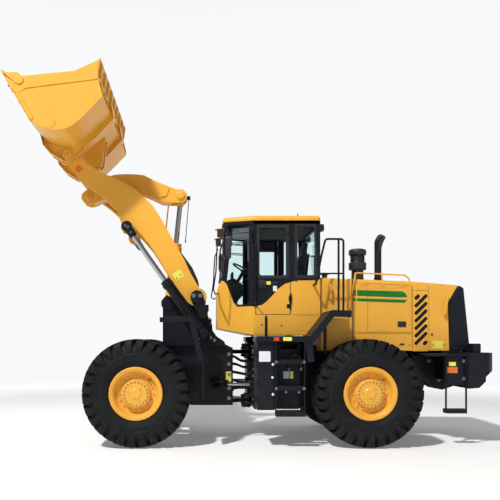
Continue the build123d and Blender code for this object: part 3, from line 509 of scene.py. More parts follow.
def circle(cx, cy, r, n=24, a0=0.0):
    return [(cx + r * cos(a0 + 2 * pi * i / n), cy + r * sin(a0 + 2 * pi * i / n)) for i in range(n)]


def rect(x0, x1, y0, y1):
    return [(x0, y0), (x1, y0), (x1, y1), (x0, y1)]


class Mesh:
    """Shapes gathered into one mesh."""

    def __init__(self):
        self.bm = bmesh.new()

    def _put(self, plane, u, w, t):
        return {"xz": (u, t, w), "xy": (u, w, t), "yz": (t, u, w)}[plane]

    def prism(self, pts, a, b, plane="xz", move=None):
        lo = [self._put(plane, u, w, a) for u, w in pts]
        hi = [self._put(plane, u, w, b) for u, w in pts]
        if move:
            lo, hi = [move(Vector(p)) for p in lo], [move(Vector(p)) for p in hi]
        lo, hi = [self.bm.verts.new(p) for p in lo], [self.bm.verts.new(p) for p in hi]
        n = len(pts)
        self.bm.faces.new(lo[::-1])
        self.bm.faces.new(hi)
        for i in range(n):
            self.bm.faces.new((lo[i], lo[(i + 1) % n], hi[(i + 1) % n], hi[i]))
        return self

    def box(self, x0, x1, y0, y1, z0, z1, r=0.0, plane="xz"):
        if plane == "xz":
            return self.prism(rounded(rect(x0, x1, z0, z1), r) if r else rect(x0, x1, z0, z1), y0, y1, "xz")
        if plane == "xy":
            return self.prism(rounded(rect(x0, x1, y0, y1), r) if r else rect(x0, x1, y0, y1), z0, z1, "xy")
        return self.prism(rounded(rect(y0, y1, z0, z1), r) if r else rect(y0, y1, z0, z1), x0, x1, "yz")

    def holed(self, outer, holes, a, b, plane="xz", move=None):
        """Plate with holes through it."""
        loops = [outer] + list(holes)
        flat = [Vector((u, w, 0)) for l in loops for u, w in l]
        tris = tessellate_polygon([[Vector((u, w, 0)) for u, w in l] for l in loops])
        sides = []
        for t in (a, b):
            co = [self._put(plane, p.x, p.y, t) for p in flat]
            if move:
                co = [move(Vector(c)) for c in co]
            vs = [self.bm.verts.new(c) for c in co]
            sides.append(vs)
            for i, j, k in tris:
                try:
                    self.bm.faces.new((vs[i], vs[j], vs[k]) if t == b else (vs[k], vs[j], vs[i]))
                except ValueError:
                    pass
        o = 0
        for l in loops:
            m = len(l)
            for i in range(m):
                p, q = o + i, o + (i + 1) % m
                self.bm.faces.new((sides[0][p], sides[0][q], sides[1][q], sides[1][p]))
            o += m
        return self

    def rings(self, rings, closed=True, cap=True):
        """Skin over a list of rings of points, each with the same count."""
        rows = [[self.bm.verts.new(p) for p in ring] for ring in rings]
        n = len(rows[0])
        for a, b in zip(rows, rows[1:]):
            for i in range(n if closed else n - 1):
                self.bm.faces.new((a[i], a[(i + 1) % n], b[(i + 1) % n], b[i]))
        if cap and closed:
            self.bm.faces.new(rows[0][::-1])
            self.bm.faces.new(rows[-1])
        return self

    def cyl(self, p, q, r, r2=None, n=32):
        p, q = Vector(p), Vector(q)
        u, v = frame_of(q - p)
        r2 = r if r2 is None else r2
        return self.rings([[c + (u * cos(2 * pi * i / n) + v * sin(2 * pi * i / n)) * rr for i in range(n)] for c, rr in ((p, r), (q, r2))])

    def lathe(self, origin, axis, profile, n=48):
        """Profile of (distance along the axis, radius), turned round it."""
        o, d = Vector(origin), Vector(axis).normalized()
        u, v = frame_of(d)
        prof = [(h, max(r, 1e-4)) for h, r in profile]
        return self.rings([[o + d * h + (u * cos(2 * pi * i / n) + v * sin(2 * pi * i / n)) * r for i in range(n)] for h, r in prof])

    def hoop(self, origin, axis, profile, n=48):
        """Closed profile of (distance along the axis, radius), turned round it."""
        o, d = Vector(origin), Vector(axis).normalized()
        u, v = frame_of(d)
        rows = [[self.bm.verts.new(o + d * h + (u * cos(2 * pi * i / n) + v * sin(2 * pi * i / n)) * r) for i in range(n)] for h, r in profile]
        for a, b in zip(rows, rows[1:] + rows[:1]):
            for i in range(n):
                self.bm.faces.new((a[i], a[(i + 1) % n], b[(i + 1) % n], b[i]))
        return self

    def tube(self, pts, r, n=12, bend=0.04, seg=6, radii=None):
        path = arc_path(pts, bend, seg)
        rings = []
        t0 = (path[1] - path[0]).normalized()
        u, _ = frame_of(t0)
        for i, p in enumerate(path):
            a, b = path[max(0, i - 1)], path[min(len(path) - 1, i + 1)]
            t = (b - a).normalized()
            u = (u - t * u.dot(t)).normalized()
            v = t.cross(u)
            rr = r if radii is None else radii(i / (len(path) - 1))
            rings.append([p + (u * cos(2 * pi * k / n) + v * sin(2 * pi * k / n)) * rr for k in range(n)])
        return self.rings(rings)

    def hexbolt(self, p, nrm, d=0.024, h=None, washer=True):
        """Hexagon head on a washer; d is across the flats."""
        p, nrm = Vector(p), Vector(nrm).normalized()
        u, v = frame_of(nrm)
        h = d * 0.62 if h is None else h
        z = 0.0
        if washer:
            self.cyl(p, p + nrm * d * 0.16, d * 0.95, n=16)
            z = d * 0.16
        def ring(z, r, m, a0=0.0):
            return [p + nrm * z + (u * cos(a0 + 2 * pi * i / m) + v * sin(a0 + 2 * pi * i / m)) * r for i in range(m)]
        R = d / 2 / cos(pi / 6)
        self.rings([ring(z, R, 6), ring(z + h * 0.82, R, 6), ring(z + h, R * 0.82, 6)])
        return self

    def done(self, name, mat, body, bevel=0.0, seg=2, angle=32.0, replaces=(), slot=None, sharp=35.0, smooth=True, doubles=0.0):
        bm = self.bm
        if doubles:
            bmesh.ops.remove_doubles(bm, verts=bm.verts, dist=doubles)
        bmesh.ops.recalc_face_normals(bm, faces=bm.faces)
        me = bpy.data.meshes.new(name)
        bm.to_mesh(me)
        bm.free()
        ob = bpy.data.objects.new(name, me)
        bpy.context.scene.collection.objects.link(ob)
        me.materials.append(mat)
        if bevel:
            m = ob.modifiers.new("edge", "BEVEL")
            m.width = bevel
            m.segments = seg
            m.limit_method = "ANGLE"
            m.angle_limit = radians(angle)
            m.harden_normals = True
            m.miter_outer = "MITER_ARC"
        if smooth:
            me.shade_smooth()
            me.set_sharp_from_angle(angle=radians(sharp))
        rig.ride(ob, body)
        if slot:
            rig.slot(ob, slot)
        if replaces:
            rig.replaces(ob, *replaces)
        return ob


def refine(node, mat, width=0.004, seg=2, angle=30.0, slot=None, keep=None):
    """The node's own shape with its edges rounded off."""
    src = NODES[node]
    bm = bmesh.new()
    bm.from_mesh(src.data)
    bmesh.ops.remove_doubles(bm, verts=bm.verts, dist=2e-5)
    bmesh.ops.dissolve_limit(bm, angle_limit=radians(0.6), verts=bm.verts, edges=bm.edges, delimit={"NORMAL"})
    if keep:
        keep(bm)
    me = bpy.data.meshes.new(node + "_body")
    bm.to_mesh(me)
    bm.free()
    ob = bpy.data.objects.new(node + "_body", me)
    bpy.context.scene.collection.objects.link(ob)
    me.materials.append(mat)
    m = ob.modifiers.new("edge", "BEVEL")
    m.width = width
    m.segments = seg
    m.limit_method = "ANGLE"
    m.angle_limit = radians(angle)
    m.harden_normals = True
    m.use_clamp_overlap = True
    me.shade_smooth()
    me.set_sharp_from_angle(angle=radians(angle))
    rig.ride(ob, src["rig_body"])
    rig.replaces(ob, node)
    if slot:
        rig.slot(ob, slot)
    return ob


def assign(node, mat):
    o = NODES[node]
    o.data.materials.clear()
    o.data.materials.append(mat)
    for p in o.data.polygons:
        p.material_index = 0


# =====================================================================
# camera and light
# =====================================================================
cam = bpy.data.cameras.new("view")
cam_ob = bpy.data.objects.new("view", cam)
bpy.context.scene.collection.objects.link(cam_ob)
cam.sensor_width = 36.0
cam.lens = 651 / 500 * 36.0
cam.shift_x, cam.shift_y = 0.10, 0.18
cam_ob.location = (-0.76, -10.7, 1.564)
cam_ob.rotation_euler = (radians(90), 0, 0)
cam.clip_start, cam.clip_end = 0.1, 200.0
bpy.context.scene.camera = cam_ob


def area(name, loc, target, size, power, colour=(1, 1, 1)):
    d = bpy.data.lights.new(name, "AREA")
    d.shape = "RECTANGLE"
    d.size, d.size_y = size
    d.energy = power
    d.color = colour
    o = bpy.data.objects.new(name, d)
    bpy.context.scene.collection.objects.link(o)
    o.location = loc
    o.rotation_euler = (Vector(target) - Vector(loc)).to_track_quat("-Z", "Y").to_euler()
    return o


area("key", (-11.5, -17.0, 26.0), (0.0, 0.0, 2.0), (1.6, 1.6), 10400, (1.0, 0.985, 0.97))
area("fill", (9.0, -11.0, 5.0), (0.0, 0.0, 2.0), (8.0, 6.0), 70, (0.95, 0.97, 1.0))
area("top", (0.0, 2.0, 13.0), (0.0, 0.0, 1.0), (10.0, 8.0), 160)
area("rim", (-4.0, 12.0, 8.0), (0.0, 0.0, 2.0), (9.0, 5.0), 120)
bpy.context.scene.view_settings.view_transform = "Standard"

world = bpy.data.worlds.new("studio")
bpy.context.scene.world = world
world.use_nodes = True
bg = world.node_tree.nodes["Background"]
bg.inputs["Color"].default_value = (0.98, 0.99, 1.0, 1.0)
bg.inputs["Strength"].default_value = 1.0
wt = world.node_tree
sep = wt.nodes.new("ShaderNodeSeparateXYZ")
wt.links.new(wt.nodes.new("ShaderNodeTexCoord").outputs["Generated"], sep.inputs[0])
ramp = wt.nodes.new("ShaderNodeMapRange")
ramp.interpolation_type = "SMOOTHSTEP"
for k, v in (("From Min", 0.42), ("From Max", 0.80), ("To Min", 0.96), ("To Max", 0.17)):
    ramp.inputs[k].default_value = v
wt.links.new(sep.outputs["Z"], ramp.inputs["Value"])
# a white backdrop behind the part, dimmer studio walls round it
wall = wt.nodes.new("ShaderNodeMapRange")
wall.interpolation_type = "SMOOTHSTEP"
for k, v in (("From Min", 0.30), ("From Max", 0.74), ("To Min", 0.32), ("To Max", 1.0)):
    wall.inputs[k].default_value = v
wt.links.new(sep.outputs["Y"], wall.inputs["Value"])
both = wt.nodes.new("ShaderNodeMath")
both.operation = "MULTIPLY"
wt.links.new(ramp.outputs[0], both.inputs[0])
wt.links.new(wall.outputs[0], both.inputs[1])
wt.links.new(both.outputs[0], bg.inputs["Strength"])


def floor():
    m = Mesh()
    n = 40
    m.prism([(60 * cos(2 * pi * i / n), 60 * sin(2 * pi * i / n)) for i in range(n)], -0.05, 0.0, "xy")
    bmesh.ops.recalc_face_normals(m.bm, faces=m.bm.faces)
    me = bpy.data.meshes.new("floor")
    m.bm.to_mesh(me)
    m.bm.free()
    ob = bpy.data.objects.new("floor", me)
    bpy.context.scene.collection.objects.link(ob)
    nn = Nodes("pale_floor")
    v = nn.noise(0.8, 4.0)
    sep = nn.new("ShaderNodeSeparateXYZ")
    nn.link(nn.co, sep.inputs[0])
    far = nn.range(nn.math("SQRT", nn.math("ADD", nn.math("MULTIPLY", sep.outputs["X"], sep.outputs["X"]), nn.math("MULTIPLY", sep.outputs["Y"], sep.outputs["Y"])), 0.0), 5.0, 16.0)
    col = nn.mix(nn.range(v, 0.3, 0.7), (0.83, 0.83, 0.83), (0.86, 0.86, 0.855))
    nn.link(nn.mix(far, col, (0.0, 0.0, 0.0)), nn.b.inputs["Base Color"])
    nn.put(Roughness=0.9, Specular_IOR_Level=0.0)
    nn.b.inputs["Emission Color"].default_value = (0.985, 0.99, 1.0, 1.0)
    nn.link(nn.range(far, 0.0, 1.0, 0.12, 0.955), nn.b.inputs["Emission Strength"])
    me.materials.append(nn.m)
    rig.stage(ob)


floor()

# =====================================================================
# wheels
# =====================================================================
CARCASS = [
    (0.231, 0.333), (0.236, 0.350), (0.240, 0.392), (0.258, 0.404), (0.270, 0.428), (0.2735, 0.438), (0.2735, 0.446), (0.280, 0.452),
    (0.286, 0.485), (0.2885, 0.520), (0.288, 0.548), (0.2945, 0.554), (0.2945, 0.564), (0.288, 0.570), (0.284, 0.600), (0.276, 0.630),
    (0.262, 0.662), (0.240, 0.694), (0.210, 0.718), (0.170, 0.734), (0.120, 0.742), (0.060, 0.746), (0.0, 0.747),
]
CARCASS = [(min(h, 0.297), r) for h, r in CARCASS]
LUG = [
    (0.008, 0.7895, 0.00, 0.030), (0.060, 0.7895, 0.16, 0.038), (0.120, 0.789, 0.36, 0.045), (0.180, 0.787, 0.60, 0.052),
    (0.222, 0.782, 0.80, 0.055), (0.254, 0.770, 0.92, 0.056), (0.276, 0.748, 0.98, 0.055), (0.288, 0.718, 1.00, 0.051),
    (0.2945, 0.684, 1.00, 0.045), (0.2965, 0.648, 0.99, 0.037), (0.2945, 0.612, 0.97, 0.028),
]
LUGS = 28


def tyre(node, x, y, turn):
    m = Mesh()
    sec = [(h, r) for h, r in CARCASS] + [(-h, r) for h, r in CARCASS[::-1][1:]]
    n = 112
    rows = []
    for i in range(n):
        th = 2 * pi * i / n
        rows.append([m.bm.verts.new((r * cos(th), h, r * sin(th))) for h, r in sec])
    k = len(sec)
    for i in range(n):
        a, b = rows[i], rows[(i + 1) % n]
        for j in range(k):
            m.bm.faces.new((a[j], a[(j + 1) % k], b[(j + 1) % k], b[j]))
    for side in (-1, 1):
        for i in range(LUGS):
            th0 = 2 * pi * (i + (0.5 if side > 0 else 0.0)) / LUGS
            rings = []
            for h, r, f, w in LUG:
                th = th0 + 0.20 * f
                c = Vector((0, -h if side < 0 else h, 0)) * 1.0
                hb, rb = h * 0.80, r - (0.070 if h < 0.26 else 0.035)
                def pt(hh, rr, off):
                    t = th + off / rr
                    return Vector((rr * cos(t), side * hh, rr * sin(t)))
                rings.append([pt(h, r, -w), pt(h, r, w), pt(hb, rb, w + 0.012), pt(hb, rb, -w - 0.012)])
            m.rings(rings)
    # raised ring blocks between the lugs, the tread's tie bars
    for i in range(LUGS * 2):
        th = 2 * pi * (i + 0.5) / (LUGS * 2) + 0.06
        side = -1 if i % 2 else 1
        rings = []
        for h in (0.010, 0.060):
            rings.append([Vector((rr * cos(th + o / rr), side * h, rr * sin(th + o / rr))) for rr, o in ((0.771, -0.02), (0.771, 0.02), (0.74, 0.03), (0.74, -0.03))])
        m.rings(rings)
    rot = Matrix.Translation((x, y, 0.79)) @ Matrix.Rotation(turn, 4, "Y")
    m.bm.transform(rot)
    return m.done(node + "_tread", RUBBER, NODES[node]["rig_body"], bevel=0.0045, seg=2, angle=38, replaces=(node,), slot="tyre", sharp=40)


for tag, wx in (("front", -1.684), ("rear", 1.690)):
    for hand, s in (("left", -1), ("right", 1)):
        turn = {"front_left": 0.05, "front_right": 0.13, "rear_left": 0.19, "rear_right": 0.02}[f"{tag}_{hand}"]
        tyre(f"{tag}_{hand}_tyre", wx, s * 1.1, turn)
        rim_ob = refine(f"{tag}_{hand}_rim", YELLOW, 0.004, 2, 24)
        body = f"{tag}_{hand}_wheel"
        yf = s * 1.1
        o = Vector((wx, 0, 0.79))
        m = Mesh()
        # hub cover with its stepped face and ring of bolts
        def on(r, th, h):
            return Vector((wx + r * cos(th), yf + s * h, 0.79 + r * sin(th)))
        ax = Vector((0, s, 0))
        m.lathe(on(0, 0, 0.236), ax, [(-0.058, 0.198), (0.011, 0.198), (0.016, 0.192), (0.016, 0.064), (0.022, 0.058), (0.022, 0.0)], 56)
        m.lathe(on(0, 0, 0.160), ax, [(0.0, 0.222), (0.018, 0.222), (0.024, 0.214), (0.024, 0.200)], 56)
        for i in range(3):
            th = 0.9 + i * 2 * pi / 3
            m.cyl(on(0.105, th, 0.250), on(0.105, th, 0.264), 0.012, n=16)
        m.done(f"{tag}_{hand}_hub_cover", YELLOW, body, bevel=0.0025, seg=2)
        m = Mesh()
        for i in range(20):
            m.hexbolt(on(0.170, 2 * pi * i / 20 + 0.08, 0.2522), ax, 0.019, washer=False)
        m.done(f"{tag}_{hand}_hub_bolts", STEEL, body, smooth=False)
        m = Mesh()
        for i in range(16):
            m.hexbolt(on(0.247, 2 * pi * i / 16, 0.168), ax, 0.027)
        m.done(f"{tag}_{hand}_wheel_nuts", YELLOW, body, bevel=0.0012, seg=1)
        m = Mesh()
        th = 0.75
        m.tube([on(0.296, th, 0.150), on(0.288, th, 0.196), on(0.268, th + 0.05, 0.214)], 0.0075, n=10, bend=0.02)
        m.cyl(on(0.268, th + 0.05, 0.214), on(0.258, th + 0.07, 0.222), 0.010, n=12)
        m.done(f"{tag}_{hand}_valve", ZINC, body)
        m = Mesh()
        # lock ring split round the rim's outer edge
        m.hoop(on(0, 0, 0.262), ax, [(0.0, 0.376), (0.010, 0.381), (0.014, 0.372), (0.010, 0.360), (0.0, 0.358)], 80)
        m.done(f"{tag}_{hand}_lock_ring", YELLOW, body)
# =====================================================================
# CAD shapes with softened edges
# =====================================================================
for name, mat, width in (
    ("front_frame", BLACK, 0.005), ("front_axle", CAST, 0.006), ("rear_axle", CAST, 0.006), ("front_fenders", DARK, 0.004),
    ("rear_frame", BLACK, 0.005), ("counterweight", DARK, 0.014), ("engine", CAST, 0.02), ("tank_cover", YELLOW, 0.0035),
    ("hood", YELLOW, 0.0035), ("hood_door_left", YELLOW, 0.003), ("hood_door_right", YELLOW, 0.003), ("grille_surround", DARK, 0.012),
    ("grille_door", DARK, 0.003), ("cab_body", YELLOW, 0.009), ("cab_frame", DARK, 0.008), ("cab_roof", YELLOW, 0.012),
    ("side_boxes", DARK, 0.006), ("side_tanks", BLACK, 0.02), ("rear_fenders", DARK, 0.004), ("platforms", BLACK, 0.004),
    ("ladders", BLACK, 0.003), ("rear_steps", BLACK, 0.004), ("boom", YELLOW, 0.006), ("rocker", YELLOW, 0.008),
    ("bucket_link", YELLOW, 0.008), ("bucket", YELLOW, 0.005), ("cutting_edge", YELLOW, 0.004), ("lift_barrels", BLACK, 0.004),
    ("tilt_barrel", YELLOW, 0.004), ("steering_barrel_left", BLACK, 0.003), ("steering_barrel_right", BLACK, 0.003),
    ("exhaust_pipe", BLACK, 0.002), ("work_lamps", PLASTIC, 0.006), ("left_door", BLACK, 0.003), ("right_door", BLACK, 0.003),
):
    refine(name, mat, width)
for name in ("cab_glass", "left_door_glass", "right_door_glass"):
    assign(name, GLASS)
assign("hood_rails", YELLOW)
assign("handrails", BLACK)
assign("grab_bars", BLACK)
assign("mirrors", BLACK)
# =====================================================================
# bucket
# =====================================================================
F0 = Vector((-3.504, 5.272))
FD, FU = Vector((-0.5, 0.866)), Vector((0.866, 0.5))


def fl(a, b):
    """Point a along the floor line past its front end and b above it."""
    p = F0 + FD * a + FU * b
    return (p.x, p.y)


HEEL = [(-3.154, 4.666), (-3.085, 4.612), (-3.005, 4.578), (-2.900, 4.552), (-2.786, 4.545), (-2.673, 4.560), (-2.560, 4.612), (-2.404, 4.752)]
BACK = HEEL + [(-2.142, 5.022)]


def offset_strip(pts, a, b):
    """Closed outline between the path moved a and b to its right."""
    def shifted(t):
        out = []
        for i, p in enumerate(pts):
            p = Vector(p)
            d = (Vector(pts[min(i + 1, len(pts) - 1)]) - Vector(pts[max(i - 1, 0)])).normalized()
            out.append(tuple(p + Vector((d.y, -d.x)) * t))
        return out
    return shifted(a) + shifted(b)[::-1]


m = Mesh()
for s in (-1, 1):
    y0, y1 = sorted((s * 1.4752, s * 1.485))
    # thicker band along the upper edge of the side plate
    m.prism([fl(-0.235, 0.010), (-3.329, 5.064), (-3.226, 5.132), (-2.206, 5.262), (-2.190, 5.532), (-2.217, 5.525), (-2.537, 5.378), (-3.250, 5.310),
             (-3.340, 5.298), (-3.478, 5.300)], y0, y1)
    # strip along the front edge
    m.prism([fl(-0.25, 0.004), fl(-0.25, 0.046), fl(-0.67, 0.046), fl(-0.695, 0.004)], *sorted((s * 1.4752, s * 1.487)))
m.done("bucket_side_bands", YELLOW, "bucket", bevel=0.004)
m = Mesh()
for s in (-1, 1):
    y0, y1 = sorted((s * 1.4752, s * 1.4805))
    m.prism(rounded([fl(-0.26, 0.054), (-3.215, 5.118), (-3.112, 5.128), (-2.792, 4.667), (-2.846, 4.585), (-2.905, 4.566), (-3.000, 4.592),
                     (-3.078, 4.628), fl(-0.68, 0.054)], [0, 0, 0.02, 0.06, 0.05, 0.03, 0.05, 0.05, 0.01], 5), y0, y1)
m.done("bucket_side_wear_plates", YELLOW, "bucket", bevel=0.002, seg=1)
# wear strips under the floor, with gaps between them
m = Mesh()
for a0, a1 in ((-0.197, -0.165), (-0.375, -0.221), (-0.523, -0.401), (-0.655, -0.549)):
    for i in range(7):
        ya = -1.47 + i * 0.4205
        m.prism([fl(a0, -0.0015), fl(a1, -0.0015), fl(a1, -0.017), fl(a0, -0.017)], ya, ya + 0.412)
m.done("floor_wear_strips", YELLOW, "bucket", bevel=0.003)
# ribs from the ears up the back, with their outer flange
m = Mesh()
RIB_IN = [(-2.600, 4.600), (-2.404, 4.7515), (-2.143, 5.0205), (-2.206, 5.240)]
RIB_OUT = [(-2.150, 5.235), (-2.098, 4.995), (-2.362, 4.712), (-2.540, 4.555)]
for s in (-1, 1):
    for ya, yb in ((0.590, 0.628), (0.457, 0.490)):
        y0, y1 = sorted((s * ya, s * yb))
        m.prism(RIB_IN + RIB_OUT, y0, y1)
    y0, y1 = sorted((s * 0.440, s * 0.645))
    m.prism(offset_strip([(-2.700, 4.378), (-2.540, 4.562), (-2.362, 4.716), (-2.098, 4.998), (-2.150, 5.235)], 0.0, 0.014), y0, y1)
m.done("back_ribs", YELLOW, "bucket", bevel=0.004)
# flanges on the ears' lower edges, outside the fork
m = Mesh()
EAR_EDGE = [(-3.246, 4.822), (-3.230, 4.795), (-3.170, 4.558), (-3.056, 4.428), (-2.925, 4.348), (-2.870, 4.322)]
for s in (-1, 1):
    for ya, yb in ((0.588, 0.715), (0.405, 0.492)):
        y0, y1 = sorted((s * ya, s * yb))
        m.prism(offset_strip(EAR_EDGE[::-1], 0.0, 0.014)[:], y0, y1)
    y0, y1 = sorted((s * 0.405, s * 0.715))
    m.prism(offset_strip(EAR_EDGE[2::-1], 0.0, 0.014), y0, y1)
m.done("ear_flanges", YELLOW, "bucket", bevel=0.003)
# spill guard: fold bar, ribs and top bar
m = Mesh()
m.cyl((-2.180, -1.47, 5.541), (-2.180, 1.47, 5.541), 0.016, n=14)
for i in range(9):
    y = -1.40 + i * 0.35
    m.prism([(-2.208, 5.250), (-2.170, 5.300), (-2.146, 5.500), (-2.168, 5.545), (-2.1685, 5.556), (-2.174, 5.54)], y - 0.008, y + 0.008)
    m.prism([(-2.143, 5.030), (-2.128, 5.040), (-2.172, 5.230), (-2.208, 5.255)], y - 0.008, y + 0.008)
m.prism([(-2.212, 5.250), (-2.196, 5.240), (-2.176, 5.262), (-2.196, 5.285)], -1.474, 1.474)
m.done("spill_guard_ribs", YELLOW, "bucket", bevel=0.003)
# bolts along the cutting edge, under the floor
m = Mesh()
nrm = (-FU.x, 0, -FU.y)
for i in range(14):
    y = -1.34 + i * 2.68 / 13
    p = fl(-0.045, -0.0245)
    m.hexbolt((p[0], y, p[1]), nrm, 0.030, washer=False)
m.done("edge_bolts", STEEL, "bucket", smooth=False)
# pin retainers on the ears
m = Mesh()
for s in (-1, 1):
    y = s * 0.655
    m.lathe((-2.815, y, 4.425), (0, s, 0), [(0, 0.068), (0.006, 0.068), (0.010, 0.062), (0.010, 0.034), (0.016, 0.030), (0.016, 0.0)], 40)
    m.lathe((-2.815, y, 4.425), (0, s, 0), [(0, 0.082), (0.004, 0.082), (0.004, 0.070)], 40)
m.done("bucket_pin_caps", YELLOW, "bucket", bevel=0.0015, seg=1)
m = Mesh()
for s in (-1, 1):
    m.hexbolt((-2.815, s * 0.671, 4.425), (0, s, 0), 0.026)
m.done("bucket_pin_bolts", YELLOW, "bucket", smooth=False)
# =====================================================================
# boom, rocker, cylinders
# =====================================================================
def patch(name, mat, cx, cz, w, h, y, body, turn=0.0, out=-1, t=0.0015, r=0.006):
    """Thin printed film on a face square to Y."""
    m = Mesh()
    c, s_ = cos(turn), sin(turn)
    pts = [(cx + u * c - v * s_, cz + u * s_ + v * c) for u, v in rounded(rect(-w / 2, w / 2, -h / 2, h / 2), r, 3)]
    y0, y1 = sorted((y, y + out * t))
    m.prism(pts, y0, y1)
    return m.done(name, mat, body, smooth=False)


for s, hand in ((-1, "left"), (1, "right")):
    x, z = at(78.9, 168.8, -0.575)
    patch(f"orange_plate_{hand}", FOIL_ORANGE, x, z, 0.092, 0.092, s * 0.5752, "boom", radians(-38), s)
    x, z = at(178, 275, -0.575)
    patch(f"yellow_plate_{hand}", FOIL_YELLOW, x, z, 0.150, 0.128, s * 0.5752, "boom", radians(33), s)
    for k, (u, v) in enumerate(((-0.045, -0.035), (0.035, -0.018))):
        c_, s_ = cos(radians(33)), sin(radians(33))
        patch(f"yellow_plate_dot_{hand}_{k}", FOIL_BLACK, x + u * c_ - v * s_, z + u * s_ + v * c_, 0.022, 0.022, s * 0.577, "boom", 0.0, s, 0.0006, 0.009)

# boom nose plates, lift eye surrounds, stiffeners inside the arms, tube collars
m = Mesh()
for s in (-1, 1):
    y0, y1 = sorted((s * 0.5755, s * 0.585))
    m.prism(circle(-2.815, 4.425, 0.078, 36), y0, y1)
    y0, y1 = sorted((s * 0.5755, s * 0.590))
    m.prism(circle(-1.884, 3.309, 0.090, 40), y0, y1)
    m.lathe((-2.010, s * 0.505, 3.807), (0, -s, 0), [(0, 0.118), (0.018, 0.118), (0.034, 0.094)], 48)
    y0, y1 = sorted((s * 0.170, s * 0.220))
    m.prism(circle(-1.950, 4.050, 0.082, 40), y0, y1)
m.done("boom_bosses", YELLOW, "boom", bevel=0.004)
# flange along the arms' inner edges
m = Mesh()
UP = [(-2.497, 4.290), (-2.320, 4.174), (-2.112, 4.083), (-1.903, 3.978), (-1.760, 3.893), (-1.612, 3.757), (-1.524, 3.669),
      (-1.466, 3.593), (-1.392, 3.476), (-1.316, 3.343), (-1.183, 3.106)]
DN = [(-2.700, 4.160), (-2.553, 3.998), (-2.284, 3.806), (-2.165, 3.702), (-2.075, 3.608)]
for s in (-1, 1):
    y0, y1 = sorted((s * 0.470, s * 0.506))
    m.prism(offset_strip(UP, 0.0, 0.016), y0, y1)
    m.prism(offset_strip(DN, -0.016, 0.0), y0, y1)
m.done("boom_inner_flanges", YELLOW, "boom", bevel=0.003)
# hoses that leave the arms' inner faces above the pivot
for s, hand in ((-1, "left"), (1, "right")):
    for k in (0, 1):
        m = Mesh()
        y = s * (0.300 - 0.045 * k)
        m.tube([(-1.230, s * 0.450, 3.060), (-1.120, y, 3.000), (-1.035, y, 2.890), (-0.905, y, 2.710), (-0.818, y, 2.520), (-0.795, y, 2.430), (-0.830, y, 2.340)], 0.024, n=12, bend=0.12)
        m.done(f"boom_hose_{hand}_{k}", HOSE, "boom")
m = Mesh()
for s in (-1, 1):
    m.lathe((-2.569, s * 0.135, 3.886), (0, s, 0), [(0, 0.070), (0.014, 0.070), (0.018, 0.064), (0.018, 0.036), (0.024, 0.030), (0.024, 0.0)], 40)
    m.lathe((-1.074, s * 0.135, 3.908), (0, s, 0), [(0, 0.074), (0.010, 0.074), (0.014, 0.068), (0.022, 0.052), (0.030, 0.050), (0.030, 0.0)], 40)
    m.lathe((-1.950, s * 0.135, 4.050), (0, s, 0), [(0, 0.125), (0.010, 0.125), (0.022, 0.110), (0.028, 0.100)], 48)
m.done("rocker_pin_caps", YELLOW, "rocker", bevel=0.002, seg=1)
m = Mesh()
for s in (-1, 1):
    m.hexbolt((-2.569, s * 0.159, 3.886), (0, s, 0), 0.026)
m.done("rocker_pin_bolts", YELLOW, "rocker", smooth=False)
# closing plates that make the lever a box between its two side plates
TOPL = [(-2.300, 4.170), (-2.240, 4.222), (-2.110, 4.249), (-1.950, 4.255), (-1.790, 4.251), (-1.670, 4.235), (-1.592, 4.195), (-1.477, 4.138), (-1.250, 4.048)]
BOTL = [(-2.500, 3.780), (-2.358, 3.838), (-2.200, 3.903), (-2.075, 3.955)]
BOTR = [(-1.835, 3.983), (-1.730, 3.963), (-1.540, 3.883), (-1.378, 3.803), (-1.230, 3.795)]
m = Mesh()
m.prism(offset_strip(TOPL, 0.0, 0.018), -0.084, 0.084)
m.prism(offset_strip(BOTL, -0.018, 0.0), -0.084, 0.084)
m.prism(offset_strip(BOTR, -0.018, 0.0), -0.084, 0.084)
m.done("rocker_closing_plates", YELLOW, "rocker", bevel=0.004)
# folded cheeks: raised panels on the lever's flanks
m = Mesh()
for s in (-1, 1):
    y0, y1 = sorted((s * 0.1352, s * 0.150))
    m.prism(rounded([(-1.580, 4.180), (-1.475, 4.125), (-1.250, 4.035), (-1.300, 3.900), (-1.480, 3.850), (-1.560, 3.900), (-1.640, 4.060)], 0.03), y0, y1)
m.done("rocker_cheeks", YELLOW, "rocker", bevel=0.008, seg=3)
# levelling rod with its bracket, beside the tilt rod's eye
m = Mesh()
xa, za = at(188.8, 197.6, -0.15)
m.tube([(-1.02, -0.078, 3.90), (-1.00, -0.100, 3.90), (xa, -0.100, za + 0.01)], 0.014, n=10, bend=0.02)
m.box(xa - 0.030, xa + 0.026, -0.125, -0.075, za - 0.028, za + 0.030, 0.008)
m.done("leveller_bracket", BLACK, "tilt_rod", bevel=0.003)
m = Mesh()
xb, zb = at(185.4, 241, -0.15)
m.cyl((xa, -0.100, za - 0.02), (xb, -0.100, zb), 0.0075, n=10)
m.cyl((xb, -0.100, zb - 0.02), (xb, -0.100, zb + 0.03), 0.011, n=10)
m.done("leveller_rod", STEEL, "tilt_rod")
m = Mesh()
xa, za = at(168.6, 205, 0.1)
xb, zb = at(166.0, 229, 0.1)
dx = (xb - xa) / (zb - za)
m.cyl((xa, 0.088, za), (xa + dx * -0.72, 0.088, za - 0.72), 0.012, n=12)
m.box(xa - 0.02, -1.10, 0.071, 0.105, za + 0.0, za + 0.03)
m.done("indicator_bar", YELLOW, "tilt_rod", bevel=0.001, seg=1)


